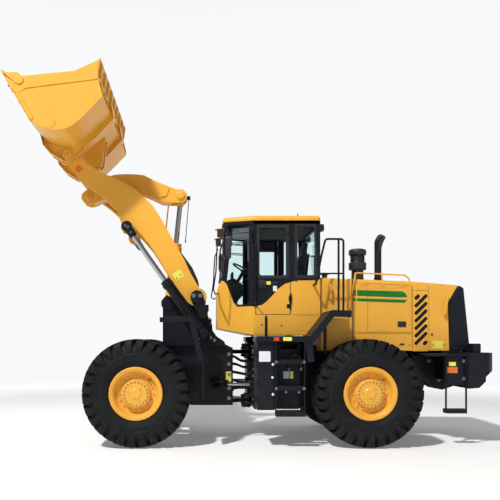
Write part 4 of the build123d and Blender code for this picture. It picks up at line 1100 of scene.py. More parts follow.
# lift rods: polished rod, dark forged eye with its pin plate
m, e, b = Mesh(), Mesh(), Mesh()
LB, LE = Vector((-0.720, 0, 1.660)), Vector((-1.884, 0, 3.309))
d = (LE - LB).normalized()
for s in (-1, 1):
    o = Vector((0, s * 0.680, 0))
    m.cyl(LB + d * 0.86 + o, LE - d * 0.10 + o, 0.039, n=40)
    e.lathe(LE - d * 0.185 + o, d, [(0.0, 0.046), (0.004, 0.058), (0.030, 0.062), (0.10, 0.064), (0.14, 0.070)], 40)
    e.lathe((LE.x, s * 0.617, LE.z), (0, s, 0), [(0.0, 0.078), (0.006, 0.084), (0.114, 0.084), (0.120, 0.078), (0.120, 0.050), (0.112, 0.046), (0.112, 0.0)], 48)
    b.hexbolt((LE.x - 0.022, s * 0.729, LE.z + 0.012), (0, s, 0), 0.024)
    b.hexbolt((LE.x + 0.020, s * 0.729, LE.z - 0.014), (0, s, 0), 0.024)
    q = LE - d * 0.115 + Vector((0, s * 0.738, 0))
    b.hexbolt(q, (0, s, 0), 0.022)
m.done("lift_rods_polished", CHROME, "lift_rods", replaces=("lift_rods",), slot="chrome")
e.done("lift_rod_eyes", BLACK, "lift_rods", bevel=0.002)
b.done("lift_rod_bolts", ZINC, "lift_rods", smooth=False)
m, e = Mesh(), Mesh()
TB, TE = Vector((-1.261, 0, 2.139)), Vector((-1.074, 0, 3.908))
d = (TE - TB).normalized()
m.cyl(TB + d * 0.87, TE - d * 0.08, 0.043, n=40)
e.lathe(TE - d * 0.150, d, [(0.0, 0.048), (0.006, 0.058), (0.05, 0.062), (0.09, 0.066)], 40)
e.lathe((TE.x, -0.070, TE.z), (0, 1, 0), [(0.0, 0.080), (0.005, 0.085), (0.135, 0.085), (0.140, 0.080)], 48)
m.done("tilt_rod_polished", CHROME, "tilt_rod", replaces=("tilt_rod",), slot="chrome")
e.done("tilt_rod_eye", YELLOW, "tilt_rod", bevel=0.002)
for hand, s in (("left", -1), ("right", 1)):
    m, e = Mesh(), Mesh()
    P_, Q_ = Vector((0.620, s * 0.460, 0.875)), Vector((-0.420, s * 0.560, 0.875))
    d = (Q_ - P_).normalized()
    m.cyl(P_ + d * 0.47, Q_ - d * 0.05, 0.024, n=32)
    e.lathe(Q_ - d * 0.095, d, [(0.0, 0.026), (0.004, 0.034), (0.05, 0.036)], 32)
    e.lathe((Q_.x, Q_.y, 0.849), (0, 0, 1), [(0.0, 0.042), (0.004, 0.045), (0.048, 0.045), (0.052, 0.042)], 36)
    m.done(f"steering_rod_{hand}_polished", CHROME, f"steering_rod_{hand}", replaces=(f"steering_rod_{hand}",), slot="chrome")
    e.done(f"steering_rod_{hand}_eye", BLACK, f"steering_rod_{hand}", bevel=0.001)

# glands, flanges, feed pipes and feet of the lift cylinders
m, p, b = Mesh(), Mesh(), Mesh()
d = (LE - LB).normalized()
for s in (-1, 1):
    o = Vector((0, s * 0.680, 0))
    m.lathe(LB + d * 0.885 + o, d, [(0.0, 0.074), (0.004, 0.088), (0.022, 0.090), (0.026, 0.082), (0.034, 0.082), (0.038, 0.090), (0.060, 0.090),
                                    (0.066, 0.080), (0.092, 0.080), (0.096, 0.072), (0.118, 0.070), (0.122, 0.050), (0.126, 0.0395)], 48)
    m.lathe((LB.x, s * 0.775, LB.z), (0, s, 0), [(0.0, 0.060), (0.008, 0.060), (0.011, 0.054), (0.011, 0.0)], 36)
    u, v = frame_of(d)
    for i in range(8):
        th = 2 * pi * i / 8
        b.hexbolt(LB + d * 0.945 + o + (u * cos(th) + v * sin(th)) * 0.066, d, 0.020)
    # rigid pipe along the barrel, held by two clips
    n_ = Vector((d.z, 0, -d.x)) * 1.0
    k = Vector((0, s * 0.030, 0)) + n_ * 0.074
    p.tube([LB + d * 0.17 + o + n_ * 0.060, LB + d * 0.19 + o + k, LB + d * 0.84 + o + k, LB + d * 0.875 + o + n_ * 0.066], 0.011, n=10, bend=0.02)
    for t in (0.30, 0.62):
        p.hoop(LB + d * t + o, d, [(0.0, 0.073), (0.0, 0.077), (0.022, 0.077), (0.022, 0.073)], 40)
m.done("lift_cylinder_glands", BLACK, "lift_barrels", bevel=0.0015, seg=1)
p.done("lift_cylinder_pipes", BLACK, "lift_barrels")
b.done("lift_cylinder_bolts", STEEL, "lift_barrels", smooth=False)
m, b = Mesh(), Mesh()
d = (TE - TB).normalized()
m.lathe(TB + d * 0.875, d, [(0.0, 0.090), (0.004, 0.104), (0.026, 0.106), (0.030, 0.098), (0.040, 0.098), (0.044, 0.108), (0.070, 0.108),
                            (0.076, 0.097), (0.118, 0.096), (0.130, 0.088), (0.140, 0.060), (0.142, 0.0435)], 48)
n_ = Vector((d.z, 0, -d.x))
m.tube([TB + d * 0.20 + n_ * 0.085, TB + d * 0.23 + n_ * 0.112, TB + d * 0.80 + n_ * 0.112, TB + d * 0.86 + n_ * 0.092], 0.014, n=10, bend=0.03)
m.box(-1.262, -1.10, -0.035, 0.035, 2.96, 3.02, 0.01)
m.done("tilt_cylinder_gland", YELLOW, "tilt_barrel", bevel=0.0015, seg=1)
u, v = frame_of(d)
for i in range(8):
    th = 2 * pi * i / 8
    b.hexbolt(TB + d * 0.945 + (u * cos(th) + v * sin(th)) * 0.084, d, 0.024)
b.done("tilt_cylinder_bolts", STEEL, "tilt_barrel", smooth=False)
for hand, s in (("left", -1), ("right", 1)):
    m = Mesh()
    P_, Q_ = Vector((0.620, s * 0.460, 0.875)), Vector((-0.420, s * 0.560, 0.875))
    d = (Q_ - P_).normalized()
    m.lathe(P_ + d * 0.535, d, [(0.0, 0.050), (0.002, 0.058), (0.018, 0.060), (0.022, 0.054), (0.062, 0.054), (0.070, 0.044), (0.072, 0.0255)], 40)
    m.tube([P_ + d * 0.14 + Vector((0, 0, 0.046)), P_ + d * 0.15 + Vector((0, 0, 0.068)), P_ + d * 0.48 + Vector((0, 0, 0.068)), P_ + d * 0.50 + Vector((0, 0, 0.046))], 0.009, n=8, bend=0.015)
    m.done(f"steering_gland_{hand}", BLACK, f"steering_barrel_{hand}", bevel=0.001, seg=1)
# =====================================================================
# frames, hinge, pipes and hoses
# =====================================================================
# wear edges of the boom pivot caps
m, b = Mesh(), Mesh()
for s in (-1, 1):
    m.lathe((-0.807, s * 0.690, 2.231), (0, s, 0), [(0, 0.100), (0.004, 0.100), (0.010, 0.094), (0.010, 0.052), (0.014, 0.048), (0.014, 0.0)], 56)
    for dx, dz in ((-0.050, 0.014), (0.052, 0.014)):
        b.hexbolt((-0.807 + dx, s * 0.700, 2.231 + dz), (0, s, 0), 0.034)
    # bracket below the cap
    m.box(-0.790, -0.625, *sorted((s * 0.600, s * 0.640)), 2.000, 2.110, 0.012)
m.done("pivot_caps", BLACK, "front_frame", bevel=0.0025)
b.done("pivot_cap_bolts", ZINC, "front_frame", bevel=0.001, seg=1)

# flanges on the rear edge of the tower plates, and doublers
m, b, p = Mesh(), Mesh(), Mesh()
EDGE = [(-0.700, 2.231), (-0.690, 2.150), (-0.620, 1.890), (-0.585, 1.740), (-0.500, 1.620), (-0.380, 1.540), (-0.366, 1.500)]
FEDGE = [(-1.330, 1.500), (-1.330, 2.180), (-1.310, 2.230), (-1.265, 2.262)]
for s in (-1, 1):
    y0, y1 = sorted((s * 0.400, s * 0.490))
    m.prism(offset_strip(EDGE, -0.002, 0.014)[:], y0, y1)
    m.prism(offset_strip(FEDGE, -0.014, 0.002), y0, y1)
    y0, y1 = sorted((s * 0.4702, s * 0.484))
    m.prism(circle(-0.807, 2.231, 0.150, 40), y0, y1)
    m.prism(circle(-1.261, 2.139, 0.110, 36), y0, y1)
    m.prism(rounded([(-0.900, 1.530), (-0.900, 1.760), (-0.820, 1.830), (-0.640, 1.830), (-0.600, 1.730), (-0.540, 1.640), (-0.470, 1.580), (-0.470, 1.530)], 0.02), y0, y1)
    # lower side plate doubler with a row of bolts
    y0, y1 = sorted((s * 0.3602, s * 0.374))
    m.prism(rounded([(-0.880, 0.560), (-0.880, 1.440), (-0.300, 1.440), (-0.262, 1.400), (-0.262, 0.570)], 0.02), y0, y1)
    for z in (0.64, 0.80, 1.02, 1.18, 1.34):
        b.hexbolt((-0.300, s * 0.374, z), (0, s, 0), 0.030)
    for x, z in ((-0.590, 1.600), (-0.540, 1.560), (-0.780, 1.600), (-0.840, 1.700)):
        b.hexbolt((x, s * 0.484, z), (0, s, 0), 0.030)
    # rigid pipes over the shelf, down the tower
    for k in range(3):
        x = -0.560 - 0.045 * k
        p.tube([(x, s * 0.500, 1.525), (x - 0.02, s * 0.500, 1.80), (x - 0.05, s * 0.500, 1.915)], 0.011, n=10, bend=0.05)
    p.box(-0.67, -0.545, *sorted((s * 0.486, s * 0.512)), 1.66, 1.69)
    p.box(-0.70, -0.575, *sorted((s * 0.486, s * 0.512)), 1.86, 1.89)
    # rim of the lower rear corner
    y0, y1 = sorted((s * 0.325, s * 0.374))
    m.prism([(-0.252, 0.535), (-0.252, 1.436), (-0.2385, 1.436), (-0.2385, 0.535)], y0, y1)
# front nose: cross tube and pad
m.cyl((-1.955, -0.36, 1.06), (-1.955, 0.36, 1.06), 0.030, n=24)
m.box(-1.46, -0.42, -0.42, -0.20, 1.5202, 1.535, 0.02, "xy")
m.box(-1.46, -0.42, 0.20, 0.42, 1.5202, 1.535, 0.02, "xy")
m.done("front_frame_plates", BLACK, "front_frame", bevel=0.003)
b.done("front_frame_bolts", ZINC, "front_frame", smooth=False)
p.done("front_frame_pipes", BLACK, "front_frame", bevel=0.0008, seg=1)

# control valve between the towers
m = Mesh()
m.box(-1.03, -0.70, -0.20, 0.20, 1.536, 1.70, 0.02)
for i in range(5):
    y = -0.16 + i * 0.08
    m.cyl((-0.99, y, 1.70), (-0.99, y, 1.745), 0.024, n=18)
    m.cyl((-0.75, y, 1.70), (-0.75, y, 1.73), 0.018, n=18)
m.done("control_valve", CAST, "front_frame", bevel=0.005)
m = Mesh()
for i, (y, x1, y1, z1) in enumerate(((-0.16, -1.10, -0.36, 1.62), (-0.08, -1.16, -0.30, 1.60), (0.0, -1.05, 0.05, 1.60), (0.08, -1.16, 0.30, 1.60), (0.16, -1.10, 0.36, 1.62))):
    m.tube([(-0.99, y, 1.735), (-0.99, y, 1.83), (x1, y1 * 0.8, 1.80), (x1, y1, z1)], 0.016, n=10, bend=0.06)
m.done("valve_hoses", HOSE, "front_frame")

# hinge: bearing caps, shims and bolt circles
m, b, g = Mesh(), Mesh(), Mesh()
for z, d in ((1.4802, 1), (0.4898, -1)):
    m.lathe((0, 0, z), (0, 0, d), [(0, 0.085), (0.012, 0.085), (0.016, 0.080), (0.016, 0.034), (0.026, 0.030), (0.026, 0.0)], 48)
    for i in range(6):
        th = i * pi / 3
        b.hexbolt((0.062 * cos(th), 0.062 * sin(th), z + d * 0.016), (0, 0, d), 0.020)
m.done("hinge_caps", BLACK, "rear_frame", bevel=0.002)
b.done("hinge_cap_bolts", ZINC, "rear_frame", smooth=False)
for z0, z1 in ((1.337, 1.343), (1.407, 1.413), (0.557, 0.563), (0.627, 0.633)):
    g.hoop((0, 0, z0), (0, 0, 1), [(0, 0.048), (0, 0.088), (z1 - z0, 0.088), (z1 - z0, 0.048)], 48)
g.done("hinge_shims", STEEL, "front_frame", bevel=0.001, seg=1)
# bulkhead ribs of the rear frame around the hinge
m, b = Mesh(), Mesh()
for s in (-1, 1):
    y0, y1 = sorted((s * 0.192, s * 0.218))
    m.prism([(0.1075, 0.68), (0.060, 0.72), (0.060, 1.25), (0.1075, 1.29)], y0, y1)
    y0, y1 = sorted((s * 0.270, s * 0.330))
    m.prism([(0.0955, 0.95), (0.0955, 1.46), (0.1078, 1.46), (0.1078, 0.95)], y0, y1)
    for z in (0.99, 1.10, 1.21, 1.32, 1.43):
        b.hexbolt((0.0955, s * 0.300, z), (-1, 0, 0), 0.024)
    # rail doubler, flange along the rail's lower edge
    y0, y1 = sorted((s * 0.3302, s * 0.344))
    m.prism(rounded([(0.20, 1.02), (0.20, 1.44), (1.06, 1.44), (1.06, 1.10), (0.82, 0.96), (0.76, 0.96)], 0.03), y0, y1)
    m.prism(rounded([(2.00, 1.09), (2.00, 1.30), (3.16, 1.30), (3.16, 0.90), (3.01, 0.83), (2.90, 0.85), (2.68, 1.03), (2.32, 1.09)], 0.02), *sorted((s * 0.3302, s * 0.338)))
m.done("rear_frame_plates", DARK, "rear_frame", bevel=0.003)
b.done("rear_frame_bolts", ZINC, "rear_frame", smooth=False)

# hoses and pipes over the hinge, from the rear frame to the front frame
def over_hinge(name, pts, r, mat, start, end, n=12, bend=0.05):
    m = Mesh()
    path = arc_path(pts, bend, 5)
    fine = [path[0]]
    for a, b_ in zip(path, path[1:]):
        k = max(1, int((b_ - a).length / 0.035))
        fine += [a.lerp(b_, (i + 1) / k) for i in range(k)]
    rings = []
    u, _ = frame_of(fine[1] - fine[0])
    for i, p_ in enumerate(fine):
        t = (fine[min(i + 1, len(fine) - 1)] - fine[max(i - 1, 0)]).normalized()
        u = (u - t * u.dot(t)).normalized()
        v = t.cross(u)
        rings.append([p_ + (u * cos(2 * pi * k / n) + v * sin(2 * pi * k / n)) * r for k in range(n)])
    m.rings(rings)
    bmesh.ops.recalc_face_normals(m.bm, faces=m.bm.faces)
    me = bpy.data.meshes.new(name)
    m.bm.to_mesh(me)
    m.bm.free()
    ob = bpy.data.objects.new(name, me)
    bpy.context.scene.collection.objects.link(ob)
    me.materials.append(mat)
    me.shade_smooth()
    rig.blend(ob, "rear_frame", "front_frame", start, end)
    return ob


LINES = [
    # upper pair beside the lugs, brake and steering hoses lower down
    ([(-0.262, -0.255, 1.30), (-0.20, -0.255, 1.295), (-0.10, -0.15, 1.23), (0.02, -0.13, 1.21), (0.09, -0.17, 1.22), (0.18, -0.17, 1.22)], 0.020),
    ([(-0.262, -0.200, 1.18), (-0.17, -0.190, 1.170), (-0.05, -0.12, 1.12), (0.05, -0.13, 1.12), (0.18, -0.15, 1.15)], 0.018),
    ([(-0.262, -0.150, 1.05), (-0.15, -0.140, 1.03), (0.00, -0.10, 1.00), (0.18, -0.12, 1.05)], 0.018),
    ([(-0.262, -0.100, 0.92), (-0.13, -0.100, 0.88), (0.00, -0.07, 0.86), (0.18, -0.08, 0.92)], 0.016),
    ([(-0.262, 0.255, 1.30), (-0.20, 0.255, 1.295), (-0.10, 0.15, 1.23), (0.02, 0.13, 1.21), (0.09, 0.17, 1.22), (0.18, 0.17, 1.22)], 0.020),
    ([(-0.262, 0.200, 1.18), (-0.17, 0.190, 1.170), (-0.05, 0.12, 1.12), (0.05, 0.13, 1.12), (0.18, 0.15, 1.15)], 0.018),
    ([(-0.262, 0.150, 1.05), (-0.15, 0.140, 1.03), (0.00, 0.10, 1.00), (0.18, 0.12, 1.05)], 0.018),
    ([(-0.262, 0.100, 0.92), (-0.13, 0.100, 0.88), (0.00, 0.07, 0.86), (0.18, 0.08, 0.92)], 0.016),
]
for i, (pts, r) in enumerate(LINES):
    over_hinge(f"hinge_hose_{i}", [Vector(p_) for p_ in pts[::-1]], r, HOSE, pts[-1], pts[0])
# shaft between the frames with its two joints
m = Mesh()
m.lathe((-0.235, 0, 0.80), (1, 0, 0), [(0, 0.075), (0.03, 0.075), (0.035, 0.050), (0.09, 0.046)], 32)
m.done("shaft_joint_front", CAST, "front_frame", bevel=0.002)
m = Mesh()
m.lathe((0.19, 0, 0.80), (-1, 0, 0), [(0, 0.075), (0.03, 0.075), (0.035, 0.050), (0.09, 0.046)], 32)
m.done("shaft_joint_rear", CAST, "rear_frame", bevel=0.002)
over_hinge("drive_shaft", [Vector((0.11, 0, 0.80)), Vector((-0.155, 0, 0.80))], 0.040, CAST, (0.11, 0, 0.80), (-0.155, 0, 0.80), n=24, bend=0.0)

# patch on the front frame by the hinge, on each side
x, z = at(228.5, 376.5, -0.36)
patch("hinge_patch_left", FOIL_YELLOW, x, z, 0.085, 0.160, -0.3745, "front_frame", 0.0, -1)
patch("hinge_patch_right", FOIL_YELLOW, x, z, 0.085, 0.160, 0.3745, "front_frame", 0.0, 1)

# bead along the fenders' outer edges
m = Mesh()
FO = [(-0.709, 0.693), (-0.709, 1.290), (-0.727, 1.340), (-0.846, 1.835), (-0.868, 1.875), (-0.905, 1.895), (-1.337, 1.887)]
RO = [(0.787, 1.247), (0.754, 1.530), (1.106, 1.978), (1.140, 1.993), (1.416, 1.984)]
for s in (-1, 1):
    m.tube([(x_, s * 1.399, z_ - 0.004) for x_, z_ in FO], 0.0065, n=8, bend=0.02)
m.done("front_fender_beads", DARK, "front_frame")
m = Mesh()
for s in (-1, 1):
    m.tube([(x_, s * 1.379, z_ - 0.004) for x_, z_ in RO], 0.0065, n=8, bend=0.02)
m.done("rear_fender_beads", DARK, "rear_frame")


# ---- side boxes: doors, blank plate, knobs ----
m, w, k = Mesh(), Mesh(), Mesh()
for s in (-1, 1):
    y0, y1 = sorted((s * 1.3302, s * 1.336))
    m.prism(rounded(rect(0.084, 0.298, 1.150, 1.505), 0.012), y0, y1)
    m.prism(rounded(rect(0.084, 0.298, 0.640, 1.120), 0.012), y0, y1)
    for z in (1.46, 1.20, 1.06, 0.70):
        k.cyl((0.094, s * 1.330, z - 0.022), (0.094, s * 1.330, z + 0.022), 0.009, n=10)
    for px, pz in ((273, 364.5), (272.4, 377.5), (273, 394.5)):
        x, z = at(px, pz, -1.335)
        w.lathe((min(x, 0.292), s * 1.336, z), (0, s, 0), [(0, 0.020), (0.006, 0.020), (0.008, 0.013), (0.022, 0.013), (0.025, 0.010), (0.025, 0.0)], 20)
    x, z = at(264, 356.5, -1.335)
    patch(f"blank_plate_{'lr'[s > 0]}", FOIL_WHITE, x + 0.01, z, 0.165, 0.150, s * 1.3362, "rear_frame", 0.0, s, 0.003, 0.010)
m.done("side_box_doors", DARK, "rear_frame", bevel=0.0025)
w.done("side_box_knobs", FOIL_WHITE, "rear_frame", bevel=0.001, seg=1)
k.done("side_box_hinges", BLACK, "rear_frame", bevel=0.001, seg=1)

# ---- ladders: serrated treads; platforms: raised tread bars, patches ----
m, b = Mesh(), Mesh()
for s in (-1, 1):
    for z in (0.9002, 1.2772):
        for i in range(16):
            x = 0.352 + i * 0.0243
            m.prism([(x, z), (x + 0.007, z + 0.010), (x + 0.014, z)], *sorted((s * 1.275, s * 1.375)))
    for i in range(20):
        x = 0.336 + i * 0.0203
        m.prism([(x, 0.5442), (x + 0.007, 0.560), (x + 0.014, 0.5442)], *sorted((s * 1.272, s * 1.381)))
    # treads on the platform
    for i in range(13):
        for j in range(10):
            x, y = 0.085 + i * 0.050, 0.83 + j * 0.052 + (0.026 if i % 2 else 0.0)
            if y > 1.33:
                continue
            m.prism([(x - 0.015, s * y), (x, s * (y - 0.006)), (x + 0.015, s * y), (x, s * (y + 0.006))][::s], 1.6198, 1.6225, "xy")
    for z in (0.87, 1.248):
        for x in (0.33, 0.73):
            b.hexbolt((x, s * 1.3852, z), (0, s, 0), 0.022)
m.done("treads", DARK, "rear_frame", bevel=0.0, smooth=False)
b.done("ladder_bolts", ZINC, "rear_frame", smooth=False)
for s, h in ((-1, "l"), (1, "r")):
    for nme, mat, x0, x1, z0, z1 in (("red", FOIL_RED, 273.8, 279.2, 337.2, 340.8), ("yellow", FOIL_YELLOW, 283.2, 292, 337.2, 340.8)):
        xa, za = at(x0, z1, -1.4)
        xb, zb = at(x1, z0, -1.4)
        patch(f"platform_{nme}_{h}", mat, (xa + xb) / 2, (za + zb) / 2, xb - xa, zb - za, s * 1.4003, "rear_frame", 0.0, s)

# ---- tanks behind the ladders: bands, filler, hose arch, gauge plate ----
m, f, hs = Mesh(), Mesh(), Mesh()
for s in (-1, 1):
    for x in (0.44, 0.64):
        m.prism(rect(x - 0.02, x + 0.02, 0.562, 1.428), *sorted((s * 1.0402, s * 1.046)))
    m.prism(rounded(rect(0.40, 0.70, 1.02, 1.36), 0.03), *sorted((s * 1.0402, s * 1.050)))
    pts = [at(288.5, 368, -1.06), at(290, 357, -1.06), at(295, 353, -1.06), at(300, 357, -1.06), at(301, 368, -1.06)]
    hs.tube([(x, s * 1.085, z) for x, z in pts], 0.016, n=12, bend=0.08)
    for x, z in (pts[0], pts[-1]):
        f.cyl((x, s * 1.085, z + 0.005), (x, s * 1.085, z - 0.04), 0.024, n=6)
        f.cyl((x, s * 1.050, z - 0.02), (x, s * 1.085, z - 0.02), 0.018, n=16)
    for px, pz in ((283, 361), (286, 392), (299, 392)):
        x, z = at(px, pz, -1.06)
        f.lathe((x, s * 1.046, z), (0, s, 0), [(0, 0.022), (0.010, 0.022), (0.012, 0.015), (0.030, 0.014), (0.030, 0.0)], 18)
m.done("tank_plates", DARK, "rear_frame", bevel=0.003)
f.done("tank_fittings", ZINC, "rear_frame", bevel=0.001, seg=1)
hs.done("tank_hoses", PLASTIC, "rear_frame")
for s, h in ((-1, "l"), (1, "r")):
    x, z = at(286.5, 375, -1.06)
    patch(f"tank_patch_blue_{h}", FOIL_BLUE, x, z, 0.090, 0.105, s * 1.0502, "rear_frame", 0.0, s)
    x, z = at(291, 375, -1.06)
    patch(f"tank_patch_yellow_{h}", FOIL_YELLOW, x + 0.012, z, 0.045, 0.105, s * 1.0502, "rear_frame", 0.0, s)

# closing plates under the platforms, behind the ladders
m = Mesh()
for s in (-1, 1):
    m.box(0.330, 0.930, *sorted((s * 0.500, s * 0.512)), 1.420, 1.600, 0.010)
m.done("platform_closing_plates", DARK, "rear_frame", bevel=0.002)
# =====================================================================
# cab
# =====================================================================
WAISTLINE = [at(*p, -0.8) for p in ((296, 279.6), (292, 281.6), (284.7, 284), (278, 289), (272, 296), (266, 302), (262, 305))]


def side_skin(name, mat, pts, body, y_in, y_out, holes=None, bevel=0.002, seg=2):
    for s, h in ((-1, "left"), (1, "right")):
        m = Mesh()
        y0, y1 = sorted((s * y_in, s * y_out))
        if holes:
            m.holed(pts, holes, y0, y1)
        else:
            m.prism(pts, y0, y1)
        m.done(f"{name}_{h}", mat, body.replace("#", h), bevel=bevel, seg=seg)


# lower yellow skin of the doors under the curved line, dark frame round the window above it
DX0, DX1 = 0.0925, 0.6045
lower = [(DX0, 1.956), (DX1, 1.956)]
curve = [(x, z) for x, z in WAISTLINE if DX0 < x < DX1]
c_end = WAISTLINE[0]
lower = [(DX0 + 0.008, 2.079), (0.206, 1.956), (DX1, 1.956), (DX1, 2.440)] + [p for p in curve if p[1] > 2.09]
side_skin("door_lower_skin", YELLOW, rounded(lower, [0.004, 0.02, 0.02, 0.004] + [0] * (len(lower) - 4), 4), "#_door", 0.8002, 0.806)
side_skin("door_corner_skin", YELLOW, rounded([(DX0, 2.072), (DX0, 1.956), (0.196, 1.956)], 0.003, 2), "#_door", 0.8002, 0.8055)
upper = [(DX0, 2.090)] + [(x, z + 0.008) for x, z in curve[::-1] if z > 2.10] + [(DX1, 2.452), (DX1, 3.320), (DX0, 3.320)]
win = rounded([(0.142, 2.542), (0.550, 2.542), (0.550, 3.275), (0.142, 3.275)], 0.045, 5)
# the frame is a plate with the window cut out, so the window must lie inside it
side_skin("door_upper_frame", BLACK, upper, "#_door", 0.8002, 0.8045, holes=[win], bevel=0.0015, seg=1)
# rubber round each pane
for s, h in ((-1, "left"), (1, "right")):
    m = Mesh()
    y0, y1 = sorted((s * 0.779, s * 0.8075))
    m.holed(rounded([(0.104, 2.500), (0.590, 2.500), (0.590, 3.320), (0.104, 3.320)], 0.020, 4), [rounded([(0.146, 2.548), (0.546, 2.548), (0.546, 3.270), (0.146, 3.270)], 0.030, 5)], y0, y1)
    m.done(f"door_window_seal_{h}", SEAL, f"{h}_door", bevel=0.003)
    m = Mesh()
    m.holed(rounded([(0.680, 2.500), (0.680, 3.328), (1.002, 3.328), (1.034, 2.500)], 0.020, 4), [rounded([(0.720, 2.552), (0.720, 3.296), (0.974, 3.296), (0.996, 2.552)], 0.030, 5)],
            *sorted((s * 0.779, s * 0.8075)))
    m.done(f"rear_side_window_seal_{h}", SEAL, "rear_frame", bevel=0.003)
    # handle plate and lever, push lock
    m = Mesh()
    y = s * 0.8065
    m.prism(rounded(rect(0.128, 0.245, 2.36, 2.475), 0.02), *sorted((y, y + s * 0.012)))
    m.tube([(0.140, y + s * 0.010, 2.41), (0.150, y + s * 0.040, 2.415), (0.230, y + s * 0.040, 2.435), (0.238, y + s * 0.010, 2.437)], 0.010, n=12, bend=0.02)
    m.cyl((0.190, y, 2.385), (0.190, y + s * 0.020, 2.385), 0.013, n=20)
    m.done(f"door_handle_{h}", PLASTIC, f"{h}_door", bevel=0.003)
    # hinges of the door
    m, b = Mesh(), Mesh()
    for z in (3.130, 2.190):
        m.cyl((0.612, s * 0.814, z - 0.052), (0.612, s * 0.814, z + 0.052), 0.0125, n=20)
        m.box(0.588, 0.606, *sorted((s * 0.8065, s * 0.816)), z - 0.040, z + 0.040, 0.004)
        for dz in (-0.022, 0.022):
            b.hexbolt((0.596, s * 0.816, z + dz), (0, s, 0), 0.010, washer=False)
    m.done(f"door_hinge_leaves_{h}", BLACK, f"{h}_door", bevel=0.002)
    b.done(f"door_hinge_bolts_{h}", ZINC, f"{h}_door", smooth=False)
    m = Mesh()
    for z in (3.130, 2.190):
        m.box(0.620, 0.636, *sorted((s * 0.8005, s * 0.818)), z - 0.044, z + 0.044, 0.004)
        m.cyl((0.612, s * 0.814, z + 0.056), (0.612, s * 0.814, z + 0.075), 0.0125, n=20)
        m.cyl((0.612, s * 0.814, z - 0.056), (0.612, s * 0.814, z - 0.075), 0.0125, n=20)
        m.prism(rect(0.606, 0.640, z + 0.060, z + 0.075), *sorted((s * 0.8005, s * 0.812)))
        m.prism(rect(0.606, 0.640, z - 0.075, z - 0.060), *sorted((s * 0.8005, s * 0.812)))
    m.done(f"door_hinge_posts_{h}", BLACK, "rear_frame", bevel=0.002)
    # sun blind with its slats over the inside of the door window
    m = Mesh()
    m.box(0.150, 0.545, *sorted((s * 0.752, s * 0.760)), 3.110, 3.265, 0.015)
    for i in range(7):
        m.box(0.152, 0.543, *sorted((s * 0.746, s * 0.753)), 3.115 + i * 0.021, 3.126 + i * 0.021)
    m.done(f"door_sun_blind_{h}", PLASTIC, f"{h}_door", bevel=0.0015, seg=1)
    # small square patches by the lock
    x, z = at(267, 283, -0.806)
    patch(f"door_patch_yellow_{h}", FOIL_YELLOW, x + 0.02, z, 0.075, 0.050, s * 0.8047, f"{h}_door", 0.0, s)
    x, z = at(274, 288.5, -0.806)
    patch(f"door_patch_white_{h}", FOIL_WHITE, x + 0.015, z, 0.060, 0.080, s * 0.8047, f"{h}_door", 0.0, s)
    x, z = at(274.5, 282.5, -0.806)
    patch(f"door_patch_black_{h}", FOIL_BLACK, x + 0.015, z, 0.085, 0.042, s * 0.8049, f"{h}_door", 0.0, s)

# seams of the lower cab panels, drawn as narrow raised beads and joints
for s, h in ((-1, "left"), (1, "right")):
    m = Mesh()
    y0, y1 = sorted((s * 0.8002, s * 0.8035))
    x0, z0 = at(254.9, 306.5, -0.8)
    x1, z1 = at(262.3, 314.6, -0.8)
    x2, z2 = at(290.0, 314.4, -0.8)
    x3, _ = at(317, 314.2, -0.8)
    for a, b_, c, d_ in ((0.700, 1.062, 1.930, 1.936),):
        m.box(a, b_, y0, y1, c, d_)
    m.box(0.700, 1.062, y0, y1, 1.716, 1.722)
    m.done(f"cab_side_beads_{h}", YELLOW, "rear_frame", bevel=0.001, seg=1)
    m = Mesh()
    y0, y1 = sorted((s * 0.7995, s * 0.8008))
    m.box(0.640, 1.050, y0, y1, 1.945, 1.950)
    m.box(0.616, 0.621, y0, y1, 1.935, 2.470)
    m.done(f"cab_seams_{h}", SEAL, "rear_frame", smooth=False)
    m = Mesh()
    for px, pz in ((262, 325), (281.5, 325.5), (296.5, 281.0)):
        x, z = at(px, pz, -0.8)
        m.lathe((x, s * 0.8002, z), (0, s, 0), [(0, 0.013), (0.003, 0.012), (0.005, 0.008), (0.005, 0.0)], 18)
    # tube along the door's front edge
    pts = [at(251.6, 229, -0.84), at(251.6, 241, -0.84), at(255.4, 248, -0.84), at(255.4, 302, -0.84), at(252.0, 303, -0.84)]
    pts = [(x, s * 0.845, z) for x, z in pts]
    m.tube([(pts[0][0], s * 0.79, pts[0][2] - 0.01)] + pts + [(pts[-1][0], s * 0.79, pts[-1][2] + 0.01)], 0.0145, n=12, bend=0.04)
    m.done(f"door_edge_tube_{h}", BLACK, "rear_frame")
    # black strip along the curved line behind the door and under the rear window
    m = Mesh()
    xa = 0.640
    pts = [(xa, 2.452), (0.720, 2.470), (1.045, 2.475), (1.045, 2.498), (xa, 2.498)]
    m.prism(pts, *sorted((s * 0.8002, s * 0.804)))
    m.done(f"waist_trim_{h}", BLACK, "rear_frame", bevel=0.001, seg=1)
